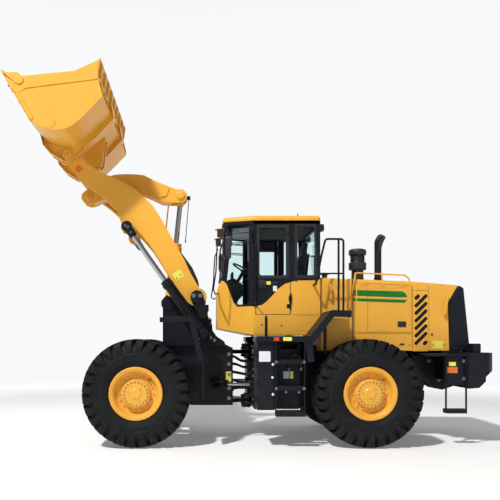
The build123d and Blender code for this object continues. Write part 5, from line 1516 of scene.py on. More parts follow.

# roof: dark band under it, raised panel, antennas
m = Mesh()
m.holed([(-0.395, -0.628), (0.055, -0.800), (1.066, -0.800), (1.066, 0.800), (0.055, 0.800), (-0.395, 0.628)],
        [[(-0.350, -0.590), (0.060, -0.752), (1.020, -0.752), (1.020, 0.752), (0.060, 0.752), (-0.350, 0.590)]], 3.330, 3.3795, "xy")
m.done("roof_band", BLACK, "rear_frame", bevel=0.004)
m = Mesh()
m.prism(rounded([(-0.25, -0.52), (0.10, -0.66), (0.94, -0.66), (0.94, 0.66), (0.10, 0.66), (-0.25, 0.52)], 0.08), 3.4602, 3.478, "xy")
for y in (-0.36, 0.0, 0.36):
    m.box(0.08, 0.86, y - 0.05, y + 0.05, 3.478, 3.486, 0.03, "xy")
m.done("roof_panel", YELLOW, "rear_frame", bevel=0.012, seg=3)
m = Mesh()
xa, za = at(254.6, 213.0, 0.0)
m.lathe((xa, 0.30, 3.478), (-0.35, 0, 1), [(0, 0.030), (0.012, 0.028), (0.022, 0.012), (0.03, 0.009), (0.110, 0.007)], 20)
xa, za = at(296.8, 213.0, 0.0)
m.lathe((xa, -0.30, 3.478), (-0.35, 0, 1), [(0, 0.030), (0.012, 0.028), (0.022, 0.012), (0.03, 0.009), (0.110, 0.007)], 20)
m.done("roof_aerials", PLASTIC, "rear_frame")

# work lamps: housing rims, lenses, reflectors
m, l, rf_, v = Mesh(), Mesh(), Mesh(), Mesh()
for s in (-1, 1):
    o = (-0.480, s * 0.480, 3.240)
    l.lathe((-0.4802, s * 0.480, 3.240), (-1, 0, 0), [(0, 0.050), (0.004, 0.050), (0.010, 0.030), (0.012, 0.0)], 32)
    m.hoop((-0.480, s * 0.480, 3.240), (-1, 0, 0), [(0, 0.050), (0, 0.059), (0.010, 0.058), (0.012, 0.052), (0.004, 0.050)], 32)
    v.prism(rounded([(-0.520, 3.296), (-0.395, 3.308), (-0.395, 3.301), (-0.520, 3.288)], 0.002, 2), *sorted((s * 0.405, s * 0.555)))
    l.lathe((1.1502, s * 0.600, 3.300), (1, 0, 0), [(0, 0.040), (0.004, 0.040), (0.010, 0.024), (0.011, 0.0)], 32)
    m.hoop((1.150, s * 0.600, 3.300), (1, 0, 0), [(0, 0.040), (0, 0.048), (0.009, 0.047), (0.010, 0.042), (0.004, 0.040)], 32)
    for i in range(4):
        m.box(-0.470 + i * 0.016, -0.462 + i * 0.016, *sorted((s * 0.408, s * 0.552)), 3.178, 3.184)
m.done("lamp_rims", PLASTIC, "rear_frame", bevel=0.001, seg=1)
l.done("lamp_lenses", REFLECT, "rear_frame")
v.done("lamp_visors", YELLOW, "rear_frame", bevel=0.002)

# mirrors: rounded housings with glass facing back, arms and loops down the front posts
m, g, a = Mesh(), Mesh(), Mesh()
for s in (-1, 1):
    y = s * 1.000
    # deep moulded shell, glass at its rear
    def at_mirror(p_, s=s):
        return Vector((-0.366, s * 1.000, 2.945)) + Vector((p_.x, p_.y, p_.z))
    rings_ = []
    for t_, w_, h_ in ((-0.062, 0.050, 0.110), (-0.054, 0.068, 0.138), (-0.030, 0.084, 0.156), (0.020, 0.090, 0.163), (0.060, 0.090, 0.163), (0.066, 0.086, 0.159)):
        rings_.append([at_mirror(Vector((t_, u_[0], u_[1]))) for u_ in rounded(rect(-w_, w_, -h_, h_), 0.040, 5)])
    m.rings(rings_)
    g.prism([(1.000 * s + u_[0], 2.945 + u_[1]) for u_ in rounded(rect(-0.080, 0.080, -0.152, 0.152), 0.036, 5)], -0.3005, -0.2975, "yz")
    # arm loop down the front post
    a.tube([(-0.455, s * 0.470, 3.12), (-0.500, s * 0.74, 3.02), (-0.505, s * 0.90, 2.93), (-0.520, s * 0.925, 2.60), (-0.560, s * 0.93, 2.32), (-0.520, s * 0.60, 2.27), (-0.470, s * 0.470, 2.30)], 0.0105, n=10, bend=0.05)
    a.tube([(-0.395, s * 1.000, 3.06), (-0.395, s * 1.000, 3.16), (-0.36, s * 0.90, 3.285)], 0.010, n=10, bend=0.05)
m.done("mirror_housings", PLASTIC, "rear_frame", bevel=0.010, seg=3)
g.done("mirror_faces", MIRROR, "rear_frame", bevel=0.001, seg=1)
a.done("mirror_loops", BLACK, "rear_frame")

# windscreen: rubber frame, wipers
m, w = Mesh(), Mesh()
m.holed(rounded(rect(-0.395, 0.395, 2.535, 3.310), 0.05), [rounded(rect(-0.368, 0.368, 2.562, 3.283), 0.04)], -0.006, 0.006, "yz",
        move=lambda p: Vector((-0.389 + (p.z - 2.545) / 755 * 1000 * 0.085 * 0.0 + 0.085 * (p.z - 2.545) / 0.755 - 0.030 + p.x, p.y, p.z)))
m.done("windscreen_seal", SEAL, "rear_frame", bevel=0.002)


def slope_x(z):
    return -0.389 + 0.085 * (z - 2.545) / 0.755 - 0.040


for y0_, y1_ in ((-0.24, -0.02), (0.24, 0.02)):
    w.tube([(slope_x(2.54) - 0.012, y0_, 2.53), (slope_x(2.75) - 0.016, (y0_ + y1_) / 2, 2.75), (slope_x(2.98) - 0.012, y1_, 2.98)], 0.006, n=8, bend=0.0)
    w.tube([(slope_x(2.72) - 0.005, y1_ - 0.03 * (1 if y0_ < 0 else -1), 2.72), (slope_x(3.2) - 0.005, y1_ + 0.01, 3.20)], 0.007, n=6, bend=0.0)
    w.cyl((slope_x(2.53) + 0.01, y0_, 2.53), (slope_x(2.53) - 0.022, y0_, 2.53), 0.018, n=18)
w.done("wipers", PLASTIC, "rear_frame")

# inner grille guard behind the front quarter windows, ladder-like, and the roof lining
m = Mesh()
for s in (-1, 1):
    for z in (3.215, 3.070, 3.045):
        m.tube([(-0.28, s * 0.545, z), (0.02, s * 0.715, z)], 0.007, n=8, bend=0.0)
    for t in (0.05, 0.95):
        x, y = -0.28 + 0.30 * t, 0.545 + 0.170 * t
        m.cyl((x, s * y, 3.03), (x, s * y, 3.30), 0.008, n=8)
m.done("quarter_window_blinds", PLASTIC, "rear_frame")
m = Mesh()
m.prism(rounded([(0.10, -0.72), (1.00, -0.72), (1.00, 0.72), (0.10, 0.72)], 0.03), 3.300, 3.328, "xy")
for y in (-0.45, 0.45):
    m.lathe((0.35, y, 3.300), (0, 0, -1), [(0, 0.050), (0.010, 0.048), (0.012, 0.030), (0.006, 0.0)], 28)
m.done("roof_lining", dull("lining_grey", (0.05, 0.055, 0.06), 0.8), "rear_frame", bevel=0.01)
# pale front lining: painted light standing in for bright daylight through the front of the roof
m = Mesh()
m.prism(rounded([(-0.33, -0.49), (0.095, -0.70), (0.095, 0.70), (-0.33, 0.49)], 0.03), 3.306, 3.328, "xy")
m.done("roof_lining_front", dull("lining_pale", (0.86, 0.88, 0.90), 0.7, dust=0.0), "rear_frame", bevel=0.006)

# interior: console, dash, wheel, levers, monitor, pedals
m = Mesh()
m.prism(rounded([(-0.340, 1.942), (-0.320, 2.480), (-0.205, 2.566), (-0.052, 2.446), (-0.052, 2.300), (-0.152, 2.190), (-0.152, 1.942)], [0.02, 0.04, 0.03, 0.03, 0.04, 0.06, 0.02]), -0.178, 0.178)
m.done("console_cover", PLASTIC, "rear_frame", bevel=0.014, seg=3, replaces=("steering_console",), slot="plastic_black")
m = Mesh()
m.prism(rounded([(-0.335, 2.30), (-0.325, 2.515), (-0.250, 2.520), (-0.215, 2.40), (-0.240, 2.28)], 0.03), -0.46, 0.46)
m.done("dashboard", PLASTIC, "rear_frame", bevel=0.012, seg=3)
m = Mesh()
m.box(-0.255, -0.215, -0.16, 0.16, 2.545, 2.665, 0.02)
m.done("instrument_hood", PLASTIC, "rear_frame", bevel=0.01)
sw = Vector((-0.034, 0, 2.712))
ax_ = Vector((0.5, 0, 0.866)).normalized()
try:
    _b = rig.box("steering_wheel")
except Exception:
    _b = None
m = Mesh()
u_, v_ = frame_of(ax_)
ringpts = 44
R_ = 0.205
rings_ = []
for i in range(ringpts):
    th = 2 * pi * i / ringpts
    c_ = sw + (u_ * cos(th) + v_ * sin(th)) * R_
    rad = (c_ - sw).normalized()
    rings_.append([c_ + (rad * cos(2 * pi * k / 12) + ax_ * sin(2 * pi * k / 12)) * 0.0145 for k in range(12)])
rows = [[m.bm.verts.new(p_) for p_ in r_] for r_ in rings_]
for i in range(ringpts):
    a_, b_ = rows[i], rows[(i + 1) % ringpts]
    for k in range(12):
        m.bm.faces.new((a_[k], a_[(k + 1) % 12], b_[(k + 1) % 12], b_[k]))
for th in (0.0, 2.2, -2.2):
    dvec = u_ * cos(th) + v_ * sin(th)
    m.tube([sw - ax_ * 0.030 + dvec * 0.03, sw - ax_ * 0.012 + dvec * 0.12, sw + dvec * 0.200], 0.011, n=10, bend=0.05)
m.lathe(sw - ax_ * 0.050, ax_, [(0, 0.030), (0.010, 0.052), (0.030, 0.055), (0.040, 0.048), (0.044, 0.0)], 32)
m.lathe(sw + (u_ * cos(0.9) + v_ * sin(0.9)) * 0.205 + ax_ * 0.012, ax_, [(0, 0.010), (0.02, 0.012), (0.028, 0.022), (0.050, 0.024), (0.058, 0.014), (0.060, 0.0)], 20)
m.cyl(sw - ax_ * 0.05, sw - ax_ * 0.34, 0.028, n=24)
m.done("steering_wheel_rim", PLASTIC, "rear_frame", replaces=("steering_wheel",), slot="plastic_black")
m, k_ = Mesh(), Mesh()
m.box(0.48, 0.90, 0.300, 0.440, 1.942, 2.420, 0.03)
m.done("armrest_console", PLASTIC, "rear_frame", bevel=0.016, seg=3)
m = Mesh()
for i, (x, y) in enumerate(((0.56, 0.335), (0.56, 0.400), (0.66, 0.368))):
    m.tube([(x, y, 2.415), (x - 0.02, y, 2.52), (x - 0.035, y, 2.60)], 0.007, n=8, bend=0.05)
    k_.lathe((x - 0.034, y, 2.590), (-0.15, 0, 1), [(0, 0.012), (0.008, 0.018), (0.035, 0.022), (0.055, 0.018), (0.062, 0.0)], 20)
m.tube([(-0.10, -0.16, 2.48), (0.02, -0.30, 2.56)], 0.007, n=8, bend=0.0)
m.done("levers", CHROME, "rear_frame")
k_.done("lever_knobs", PLASTIC, "rear_frame")
m = Mesh()
for y in (-0.27, -0.02 + 0.27, 0.36):
    m.prism([(-0.29, 1.985), (-0.13, 1.945), (-0.13, 1.957), (-0.285, 2.000)], y - 0.045, y + 0.045)
m.done("pedals", PLASTIC, "rear_frame", bevel=0.004)
m = Mesh()
m.prism(rounded([(-0.42, -0.40), (0.06, -0.72), (1.00, -0.72), (1.00, 0.72), (0.06, 0.72), (-0.42, 0.40)], 0.02), 1.9405, 1.9475, "xy")
for i in range(24):
    m.box(-0.24 + i * 0.05, -0.225 + i * 0.05, -0.45, 0.45, 1.9475, 1.9505, 0.0, "xy")
m.done("floor_mat", SEAL, "rear_frame", bevel=0.001, seg=1)

# seat: crowned cushion and back with bolsters, over a plinth
def cushion(name, corners, cx, crown, mat, body, nx=18, ny=14, thick=0.10, groove=0.010):
    """Upholstered block: a surface of two bulging panels with a sewn channel, closed below."""
    m = Mesh()
    o, ux, uy, uz, w, d = corners
    def top(i, j):
        s_, t_ = i / nx, j / ny
        a = (1 - abs(2 * s_ - 1) ** 3.5) * (1 - abs(2 * t_ - 1) ** 3.5)
        bol = 0.022 * (1 - min(1, min(s_, 1 - s_) / 0.22)) ** 2 * 0 + 0.030 * max(0.0, 1 - abs(min(s_, 1 - s_) - 0.12) / 0.12)
        ch = sum(exp(-((s_ - c_) / 0.016) ** 2) for c_ in (0.25, 0.75)) + sum(exp(-((t_ - c_) / 0.02) ** 2) for c_ in (0.36, 0.66)) * (1.0 if 0.25 < s_ < 0.75 else 0.0)
        return crown * a + bol * (1 - abs(2 * t_ - 1) ** 4) - groove * ch * a
    grid = [[m.bm.verts.new(o + ux * (w * (i / nx - 0.5)) + uy * (d * (j / ny - 0.5)) + uz * (thick + top(i, j))) for j in range(ny + 1)] for i in range(nx + 1)]
    for i in range(nx):
        for j in range(ny):
            m.bm.faces.new((grid[i][j], grid[i + 1][j], grid[i + 1][j + 1], grid[i][j + 1]))
    edge = [grid[i][0] for i in range(nx + 1)] + [grid[nx][j] for j in range(1, ny + 1)] + [grid[i][ny] for i in range(nx - 1, -1, -1)] + [grid[0][j] for j in range(ny - 1, 0, -1)]
    prev = edge
    for drop, grow in ((0.018, 0.010), (0.05, 0.014), (thick - 0.012, 0.006), (thick, -0.02)):
        ring = []
        for v in edge:
            q = v.co - o
            a_, b_ = q.dot(ux), q.dot(uy)
            ring.append(m.bm.verts.new(o + ux * (a_ + (grow if a_ > 0 else -grow) * (abs(a_) > w * 0.499)) + uy * (b_ + (grow if b_ > 0 else -grow) * (abs(b_) > d * 0.499)) + uz * (thick - drop)))
        for k in range(len(edge)):
            m.bm.faces.new((prev[k], prev[(k + 1) % len(edge)], ring[(k + 1) % len(edge)], ring[k]))
        prev = ring
    m.bm.faces.new(prev[::-1])
    bmesh.ops.subdivide_edges(m.bm, edges=m.bm.edges[:], cuts=1, use_grid_fill=True, smooth=0.6)
    return m.done(name, mat, body, sharp=60)


X_, Y_, Z_ = Vector((1, 0, 0)), Vector((0, 1, 0)), Vector((0, 0, 1))
seat_a = cushion("seat_cushion", (Vector((0.655, 0, 2.200)), Y_, X_, Z_, 0.490, 0.470), 0, 0.030, CLOTH, "rear_frame")
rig.replaces(seat_a, "seat")
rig.slot(seat_a, "seat_cloth")
bu = Vector((0.16, 0, 0.987)).normalized()
bn = Vector((-0.987, 0, 0.16)).normalized()
cushion("seat_back", (Vector((0.930, 0, 2.640)), Y_, bu, bn, 0.470, 0.620), 0, 0.028, CLOTH, "rear_frame")
cushion("head_rest", (Vector((0.985, 0, 3.045)), Y_, bu, bn, 0.270, 0.150), 0, 0.020, CLOTH, "rear_frame", nx=12, ny=8, thick=0.07, groove=0.0)
m = Mesh()
for i in range(5):
    m.box(0.470, 0.860, -0.200 + 0.004 * (i % 2), 0.200 - 0.004 * (i % 2), 2.020 + i * 0.030, 2.046 + i * 0.030, 0.05, "xy")
m.box(0.44, 0.90, -0.22, 0.22, 1.9405, 2.018, 0.05, "xy")
m.box(0.42, 0.90, -0.235, 0.235, 2.172, 2.200, 0.05, "xy")
m.cyl((0.965, -0.07, 2.90), (0.985, -0.07, 3.02), 0.007, n=10)
m.cyl((0.965, 0.07, 2.90), (0.985, 0.07, 3.02), 0.007, n=10)
m.prism([(0.90, 2.19), (0.985, 2.95), (1.005, 2.95), (0.925, 2.19)], -0.225, 0.225)
for s in (-1, 1):
    m.prism(rounded([(0.62, 2.46), (0.90, 2.44), (0.90, 2.50), (0.63, 2.52)], 0.02), *sorted((s * 0.262, s * 0.318)))
m.done("seat_frame", PLASTIC, "rear_frame", bevel=0.006)
# =====================================================================
# hood, tank cover, rear
# =====================================================================
HY = 0.750


def top_h(x):
    pts = [(1.066, 2.521), (1.563, 2.501), (2.465, 2.463), (3.186, 2.405)]
    for (xa, za), (xb, zb) in zip(pts, pts[1:]):
        if x <= xb:
            return za + (zb - za) * (x - xa) / (xb - xa)
    return pts[-1][1]


def hp(px, py):
    """Point on the hood's side for a place in the picture's frame."""
    return at(px, py, -HY)


for s, h in ((-1, "left"), (1, "right")):
    # ---- green stripes, over the door and the fixed panel behind it ----
    y = s * 0.7512
    up = [hp(*p) for p in ((352.9, 289.9), (402.7, 291.4), (405.6, 293.6), (407.8, 297.2), (400.0, 297.4), (352.9, 295.8))]
    lo = [hp(*p) for p in ((352.9, 298.1), (400.0, 299.6), (407.2, 299.8), (404.5, 302.9), (352.9, 301.1))]
    # each stripe is split where the door opens
    xs = 1.604
    for k, poly in (("upper", up), ("lower", lo)):
        def cut(poly, x0, side_):
            out = []
            for i in range(len(poly)):
                a, b_ = poly[i], poly[(i + 1) % len(poly)]
                ina, inb = (a[0] - x0) * side_ >= 0, (b_[0] - x0) * side_ >= 0
                if ina:
                    out.append(a)
                if ina != inb:
                    t = (x0 - a[0]) / (b_[0] - a[0])
                    out.append((x0, a[1] + (b_[1] - a[1]) * t))
            return out
        door_part = cut(cut(poly, 1.606, 1), 2.472, -1)
        if len(door_part) > 2:
            m = Mesh()
            m.prism(door_part, *sorted((s * 0.7502, y)))
            m.done(f"stripe_{k}_{h}", GREEN, f"hood_door_{h}", smooth=False)
        front_part = cut(poly, 1.598, -1)
        if len(front_part) > 2:
            m = Mesh()
            m.prism(front_part, *sorted((s * 0.7502, y)))
            m.done(f"stripe_{k}_front_{h}", GREEN, "rear_frame", smooth=False)
    # ---- louvre panel behind the door ----
    m, d = Mesh(), Mesh()
    x0, z1 = hp(412.4, 290.8)
    x1, z0 = hp(428.2, 351.2)
    x0 = 2.486
    holes = []
    c_ = cos(radians(45))
    for px, py, w_ in [(420.7, 301 + 7.5 * i, 0.2587) for i in range(6)] + [(416.8, 297.2, 0.092), (424.9, 343.0, 0.078)]:
        cx, cz = hp(px, py)
        holes.append([(cx + (u - v) * c_, cz + (u + v) * c_) for u, v in rounded(rect(-w_ / 2, w_ / 2, -0.0275, 0.0275), 0.020, 4)])
    m.holed(rounded([(x0, z0), (x1, z0), (x1, z1), (x0, z1)], 0.012), holes, *sorted((s * 0.7502, s * 0.768)))
    # dark sheets inside the holes: painted shade behind the louvre openings
    for hl in holes:
        d.prism(hl, *sorted((s * 0.7501, s * 0.7515)))
    m.done(f"louvre_panel_{h}", YELLOW, "rear_frame", bevel=0.0015, seg=1)
    d.done(f"louvre_openings_{h}", SHADE_FILL, "rear_frame", smooth=False)
    # ---- seams: grooves shown as dark joints ----
    m = Mesh()
    yy = sorted((s * 0.7496, s * 0.7508))
    xa, za = hp(344, 332.9)
    m.box(1.585, 2.480, *yy, 1.664, 1.669)
    xg, _ = hp(367.6, 300)
    m.box(2.482, 2.486, *yy, 1.45, 2.395)
    m.box(1.573, 1.580, *yy, 1.42, 2.47)
    m.box(2.729, 2.733, *yy, 1.42, 2.40)
    m.box(2.486, 2.729, *yy, 2.3175, 2.3215)
    m.done(f"hood_seams_{h}", SEAL, "rear_frame", smooth=False)
    m = Mesh()
    m.box(xg, xg + 0.005, *sorted((s * 0.7496, s * 0.7507)), 1.690, 2.400)
    m.done(f"door_groove_{h}", SEAL, f"hood_door_{h}", smooth=False)
    # pressed fields on the door
    m = Mesh()
    yd = sorted((s * 0.7500, s * 0.7535))
    m.holed(rounded(rect(1.625, 2.452, 1.695, 2.375), 0.03), [rounded(rect(1.641, 2.436, 1.711, 2.359), 0.022)], *yd)
    m.done(f"door_bead_{h}", YELLOW, f"hood_door_{h}", bevel=0.0015, seg=2)
    # latch with its dished plate
    xa, za = hp(397.6, 321.4)
    xb, zb = hp(406.0, 327.0)
    m = Mesh()
    m.holed(rounded(rect(xa, xb, zb, za), 0.014), [rounded(rect(xa + 0.016, xb - 0.016, zb + 0.016, za - 0.016), 0.008)], *sorted((s * 0.7502, s * 0.758)))
    m.prism(rounded(rect(xa + 0.014, xb - 0.014, zb + 0.014, za - 0.014), 0.006), *sorted((s * 0.7502, s * 0.7525)))
    m.box(xa + 0.030, xb - 0.030, *sorted((s * 0.7525, s * 0.7625)), (za + zb) / 2 - 0.010, (za + zb) / 2 + 0.016, 0.006)
    m.done(f"door_latch_{h}", PLASTIC, f"hood_door_{h}", bevel=0.002)
    m = Mesh()
    xa, za = hp(399.6, 343.4)
    xb, zb = hp(404.4, 345.4)
    m.prism(rounded(rect(xa, xb, zb, za), 0.010), *sorted((s * 0.7500, s * 0.7515)))
    xa, za = hp(432, 334.5)
    m.lathe((xa, s * 0.7500, za), (0, s, 0), [(0, 0.018), (0.004, 0.018), (0.006, 0.012), (0.006, 0.0)], 20)
    m.done(f"hood_marks_{h}", PLASTIC, "rear_frame", bevel=0.001, seg=1)
    xa, za = hp(432.5, 341)
    xb, zb = hp(443.5, 348.5)
    patch(f"hood_patch_{h}", FOIL_YELLOW, (xa + xb) / 2, (za + zb) / 2, xb - xa, za - zb, s * 0.7502, "rear_frame", 0.0, s)
    # ---- grab handles ----
    m = Mesh()
    xa, za = hp(329.0, 285)
    xb, zb = hp(330.5, 299.5)
    m.tube([(xa, s * 0.744, za), (xa + 0.012, s * 0.800, za - 0.01), (xa + 0.024, s * 0.806, za - 0.05), (xb, s * 0.806, zb + 0.03), (xb - 0.006, s * 0.800, zb + 0.008), (xb - 0.016, s * 0.744, zb)], 0.0145, n=12, bend=0.02)
    xa, za = hp(446.6, 297.5)
    xb, zb = hp(443.4, 315.5)
    m.tube([(xa + 0.010, s * 0.744, za), (xa, s * 0.800, za - 0.004), (xa - 0.012, s * 0.806, za - 0.04), (xb, s * 0.806, zb + 0.03), (xb + 0.004, s * 0.800, zb + 0.004), (xb + 0.014, s * 0.744, zb)], 0.0145, n=12, bend=0.02)
    m.done(f"grab_handles_{h}", YELLOW, "rear_frame")
    # panel beads on the tank cover, bolts along the hood's lower edge
    m, b = Mesh(), Mesh()
    m.holed(rounded(rect(1.115, 1.545, 1.66, 2.40), 0.04), [rounded(rect(1.128, 1.532, 1.673, 2.387), 0.032)], *sorted((s * 0.7500, s * 0.7530)))
    for x in (1.62, 1.84, 2.06, 2.28, 2.44, 2.80, 2.96):
        b.hexbolt((x, s * 0.7502, 1.50), (0, s, 0), 0.020)
    for x in (1.15, 1.50):
        for z in (1.50, 1.60):
            b.hexbolt((x, s * 0.7502, z), (0, s, 0), 0.020)
    m.done(f"tank_cover_bead_{h}", YELLOW, "rear_frame", bevel=0.0012, seg=2)
    b.done(f"hood_bolts_{h}", YELLOW, "rear_frame", smooth=False)

# ---- top of the hood: raised panels, dark strips painted as the shade of slots, filler cap, tread strips ----
m = Mesh()


def on_top(pts, t0, t1):
    """Plate that follows the sloping top of the hood."""
    lo_ = [m.bm.verts.new((x, y, top_h(x) + t0)) for x, y in pts]
    hi_ = [m.bm.verts.new((x, y, top_h(x) + t1)) for x, y in pts]
    n_ = len(pts)
    m.bm.faces.new(lo_[::-1])
    m.bm.faces.new(hi_)
    for i in range(n_):
        m.bm.faces.new((lo_[i], lo_[(i + 1) % n_], hi_[(i + 1) % n_], hi_[i]))


on_top(rounded(rect(2.52, 3.10, -0.56, 0.56), 0.05), 0.0002, 0.010)
on_top(rounded(rect(1.62, 1.74, -0.62, 0.62), 0.03), 0.0002, 0.008)
on_top(rounded(rect(1.14, 1.52, -0.40, 0.60), 0.05), 0.0002, 0.010)
m.done("hood_top_panels", YELLOW, "rear_frame", bevel=0.006, seg=3)
# dark strips on the rear raised panel: painted shade standing in for slots
m = Mesh()
for i in range(9):
    y = -0.48 + i * 0.12
    m.bm.verts.ensure_lookup_table()
    on_top(rounded(rect(2.60, 3.02, y - 0.022, y + 0.022), 0.02), 0.0102, 0.0115)
m.done("hood_top_slots", SHADE_FILL, "rear_frame", smooth=False)
m = Mesh()
for x0_ in (1.90, 2.30):
    for i in range(11):
        for j in (-1, 1):
            for k in range(3):
                x, y = x0_ + i * 0.026, j * (0.40 + k * 0.05)
                if abs(x - 2.163) < 0.11 and abs(y) < 0.12:
                    continue
                on_top([(x, y - 0.010), (x + 0.006, y), (x, y + 0.010), (x - 0.006, y)], 0.0, 0.003)
m.done("hood_top_grip", YELLOW, "rear_frame", smooth=False)
m = Mesh()
m.lathe((1.180, -0.560, 2.5452), (0, 0, 1), [(0, 0.040), (0.030, 0.040), (0.034, 0.062), (0.052, 0.064), (0.060, 0.056), (0.062, 0.030), (0.066, 0.026), (0.066, 0.0)], 40)
for i in range(12):
    th = i * pi / 6
    m.cyl((1.180 + 0.061 * cos(th), -0.560 + 0.061 * sin(th), 2.579), (1.180 + 0.061 * cos(th), -0.560 + 0.061 * sin(th), 2.597), 0.006, n=8)
m.done("filler_cap", PLASTIC, "rear_frame", bevel=0.002)

# ---- air intake stack with its bowl, bands and clamp ----
m = Mesh()
PX = 1.827
m.lathe((PX, 0, 2.470), (0, 0, 1), [(0.0, 0.120), (0.012, 0.120), (0.016, 0.098), (0.232, 0.097), (0.240, 0.104), (0.246, 0.137), (0.250, 0.142), (0.356, 0.142), (0.361, 0.138),
                                    (0.364, 0.114), (0.372, 0.109), (0.474, 0.109), (0.480, 0.120), (0.490, 0.138), (0.498, 0.142), (0.556, 0.142), (0.570, 0.136), (0.584, 0.106), (0.592, 0.060), (0.592, 0.0)], 72)
for i in range(26):
    th = 2 * pi * i / 26
    p_ = Vector((PX + 0.111 * cos(th), 0.111 * sin(th), 2.846))
    m.cyl(p_, p_ + Vector((0, 0, 0.096)), 0.0045, n=6)
for z in (2.852, 2.880, 2.908, 2.936):
    m.hoop((PX, 0, z), (0, 0, 1), [(0, 0.108), (0, 0.117), (0.008, 0.117), (0.008, 0.108)], 56)
m.hoop((PX, 0, 2.560), (0, 0, 1), [(0, 0.096), (0, 0.103), (0.016, 0.103), (0.016, 0.096)], 56)
m.box(PX - 0.012, PX + 0.012, -0.125, -0.098, 2.560, 2.576)
m.done("intake_stack", PLASTIC, "rear_frame", bevel=0.0015, seg=1, replaces=("precleaner",), slot="plastic_black")
# exhaust: bent thin-walled pipe, open at its tip
m = Mesh()
path = [Vector((2.163, 0, 2.480))] + [Vector((2.163 + 0.080 * max(0.0, (z - 3.02) / 0.255) ** 2.0, 0, z)) for z in [2.8] + [3.0 + 0.275 * k / 14 for k in range(15)]]
outer, inner = [], []
for i, p_ in enumerate(path):
    t_ = (path[min(len(path) - 1, i + 1)] - path[max(0, i - 1)]).normalized()
    v_ = Vector((0, 1, 0))
    u_ = v_.cross(t_).normalized()
    outer.append([p_ + (u_ * cos(2 * pi * k / 40) + v_ * sin(2 * pi * k / 40)) * 0.057 for k in range(40)])
    inner.append([p_ + (u_ * cos(2 * pi * k / 40) + v_ * sin(2 * pi * k / 40)) * 0.0525 for k in range(40)])
m.rings(outer + inner[:len(path) - 9:-1])
m.done("exhaust_tube", CAST, "rear_frame", replaces=("exhaust_pipe",), slot="frame_black")
# flange and clamp of the exhaust
m = Mesh()
m.lathe((2.163, 0, 2.474), (0, 0, 1), [(0.0, 0.105), (0.010, 0.105), (0.014, 0.070), (0.040, 0.066), (0.044, 0.0)], 48)
m.hoop((2.163, 0, 2.560), (0, 0, 1), [(0, 0.056), (0, 0.064), (0.022, 0.064), (0.022, 0.056)], 40)
m.box(2.151, 2.175, -0.090, -0.058, 2.562, 2.580)
for i in range(6):
    th = i * pi / 3
    m.hexbolt((2.163 + 0.088 * cos(th), 0.088 * sin(th), 2.484), (0, 0, 1), 0.018)
m.done("exhaust_flange", BLACK, "rear_frame", bevel=0.001, seg=1)
# front legs of the hood's rails, down the sides to the fenders
m = Mesh()
for s in (-1, 1):
    m.tube([(1.515, s * 0.745, 2.037), (1.515, s * 0.775, 2.050), (1.600, s * 0.775, 2.520), (1.615, s * 0.735, 2.585), (1.650, s * 0.655, 2.598)], 0.0125, n=12, bend=0.05)
m.done("hood_rail_legs", YELLOW, "rear_frame")

# ---- grille: frame, mesh bars behind the slots, handles ----
m = Mesh()


def gx(z):
    """X of the grille door's outer face."""
    return 3.248 + (2.322 - z) * 75 / 834


for i in range(12):
    z = 1.540 + i * 0.062 + 0.015
    xx = gx(z)
    # slanted blade in each slot
    m.prism([(xx - 0.020, z + 0.012), (xx - 0.017, z + 0.015), (xx + 0.006, z - 0.008), (xx + 0.003, z - 0.012)], -0.568, 0.568)
for y in (-0.380, -0.190, 0.0, 0.190, 0.380):
    m.prism([(gx(1.53) + 0.0002, 1.525), (gx(1.53) + 0.010, 1.525), (gx(2.27) + 0.010, 2.27), (gx(2.27) + 0.0002, 2.27)], y - 0.012, y + 0.012)
m.done("grille_blades", DARK, "grille_door", bevel=0.001, seg=1)
m = Mesh()
m.tube([(gx(1.95), -0.600, 1.95), (gx(1.95) + 0.05, -0.600, 1.945), (gx(1.85) + 0.05, -0.600, 1.845), (gx(1.85), -0.600, 1.84)], 0.010, n=10, bend=0.02)
m.lathe((gx(2.05), -0.600, 2.05), (1, 0, 0.09), [(0, 0.024), (0.010, 0.024), (0.014, 0.014), (0.014, 0.0)], 20)
m.done("grille_handle", PLASTIC, "grille_door", bevel=0.001, seg=1)
m = Mesh()
for z in (1.560, 1.690, 2.110, 2.240):
    dx_ = (1.900 - z) * 0.09
    m.box(3.322 + dx_, 3.345 + dx_, 0.633, 0.652, z - 0.018, z + 0.018, 0.003)
    m.box(3.300 + dx_ + 0.018, 3.345 + dx_, 0.645, 0.700, z - 0.018, z + 0.018, 0.003)
m.done("grille_hinge_posts", DARK, "rear_frame", bevel=0.001, seg=1)
# dark core behind the grille
m = Mesh()
m.prism([(3.05, 1.50), (3.06, 1.50), (3.06, 2.30), (3.05, 2.30)], -0.60, 0.60)
for i in range(40):
    y = -0.585 + i * 0.03
    m.box(3.0602, 3.068, y - 0.002, y + 0.002, 1.51, 2.29)
for i in range(16):
    z = 1.53 + i * 0.05
    m.box(3.0602, 3.066, -0.59, 0.59, z - 0.006, z + 0.006)
m.done("radiator_core", CAST, "rear_frame", smooth=False)

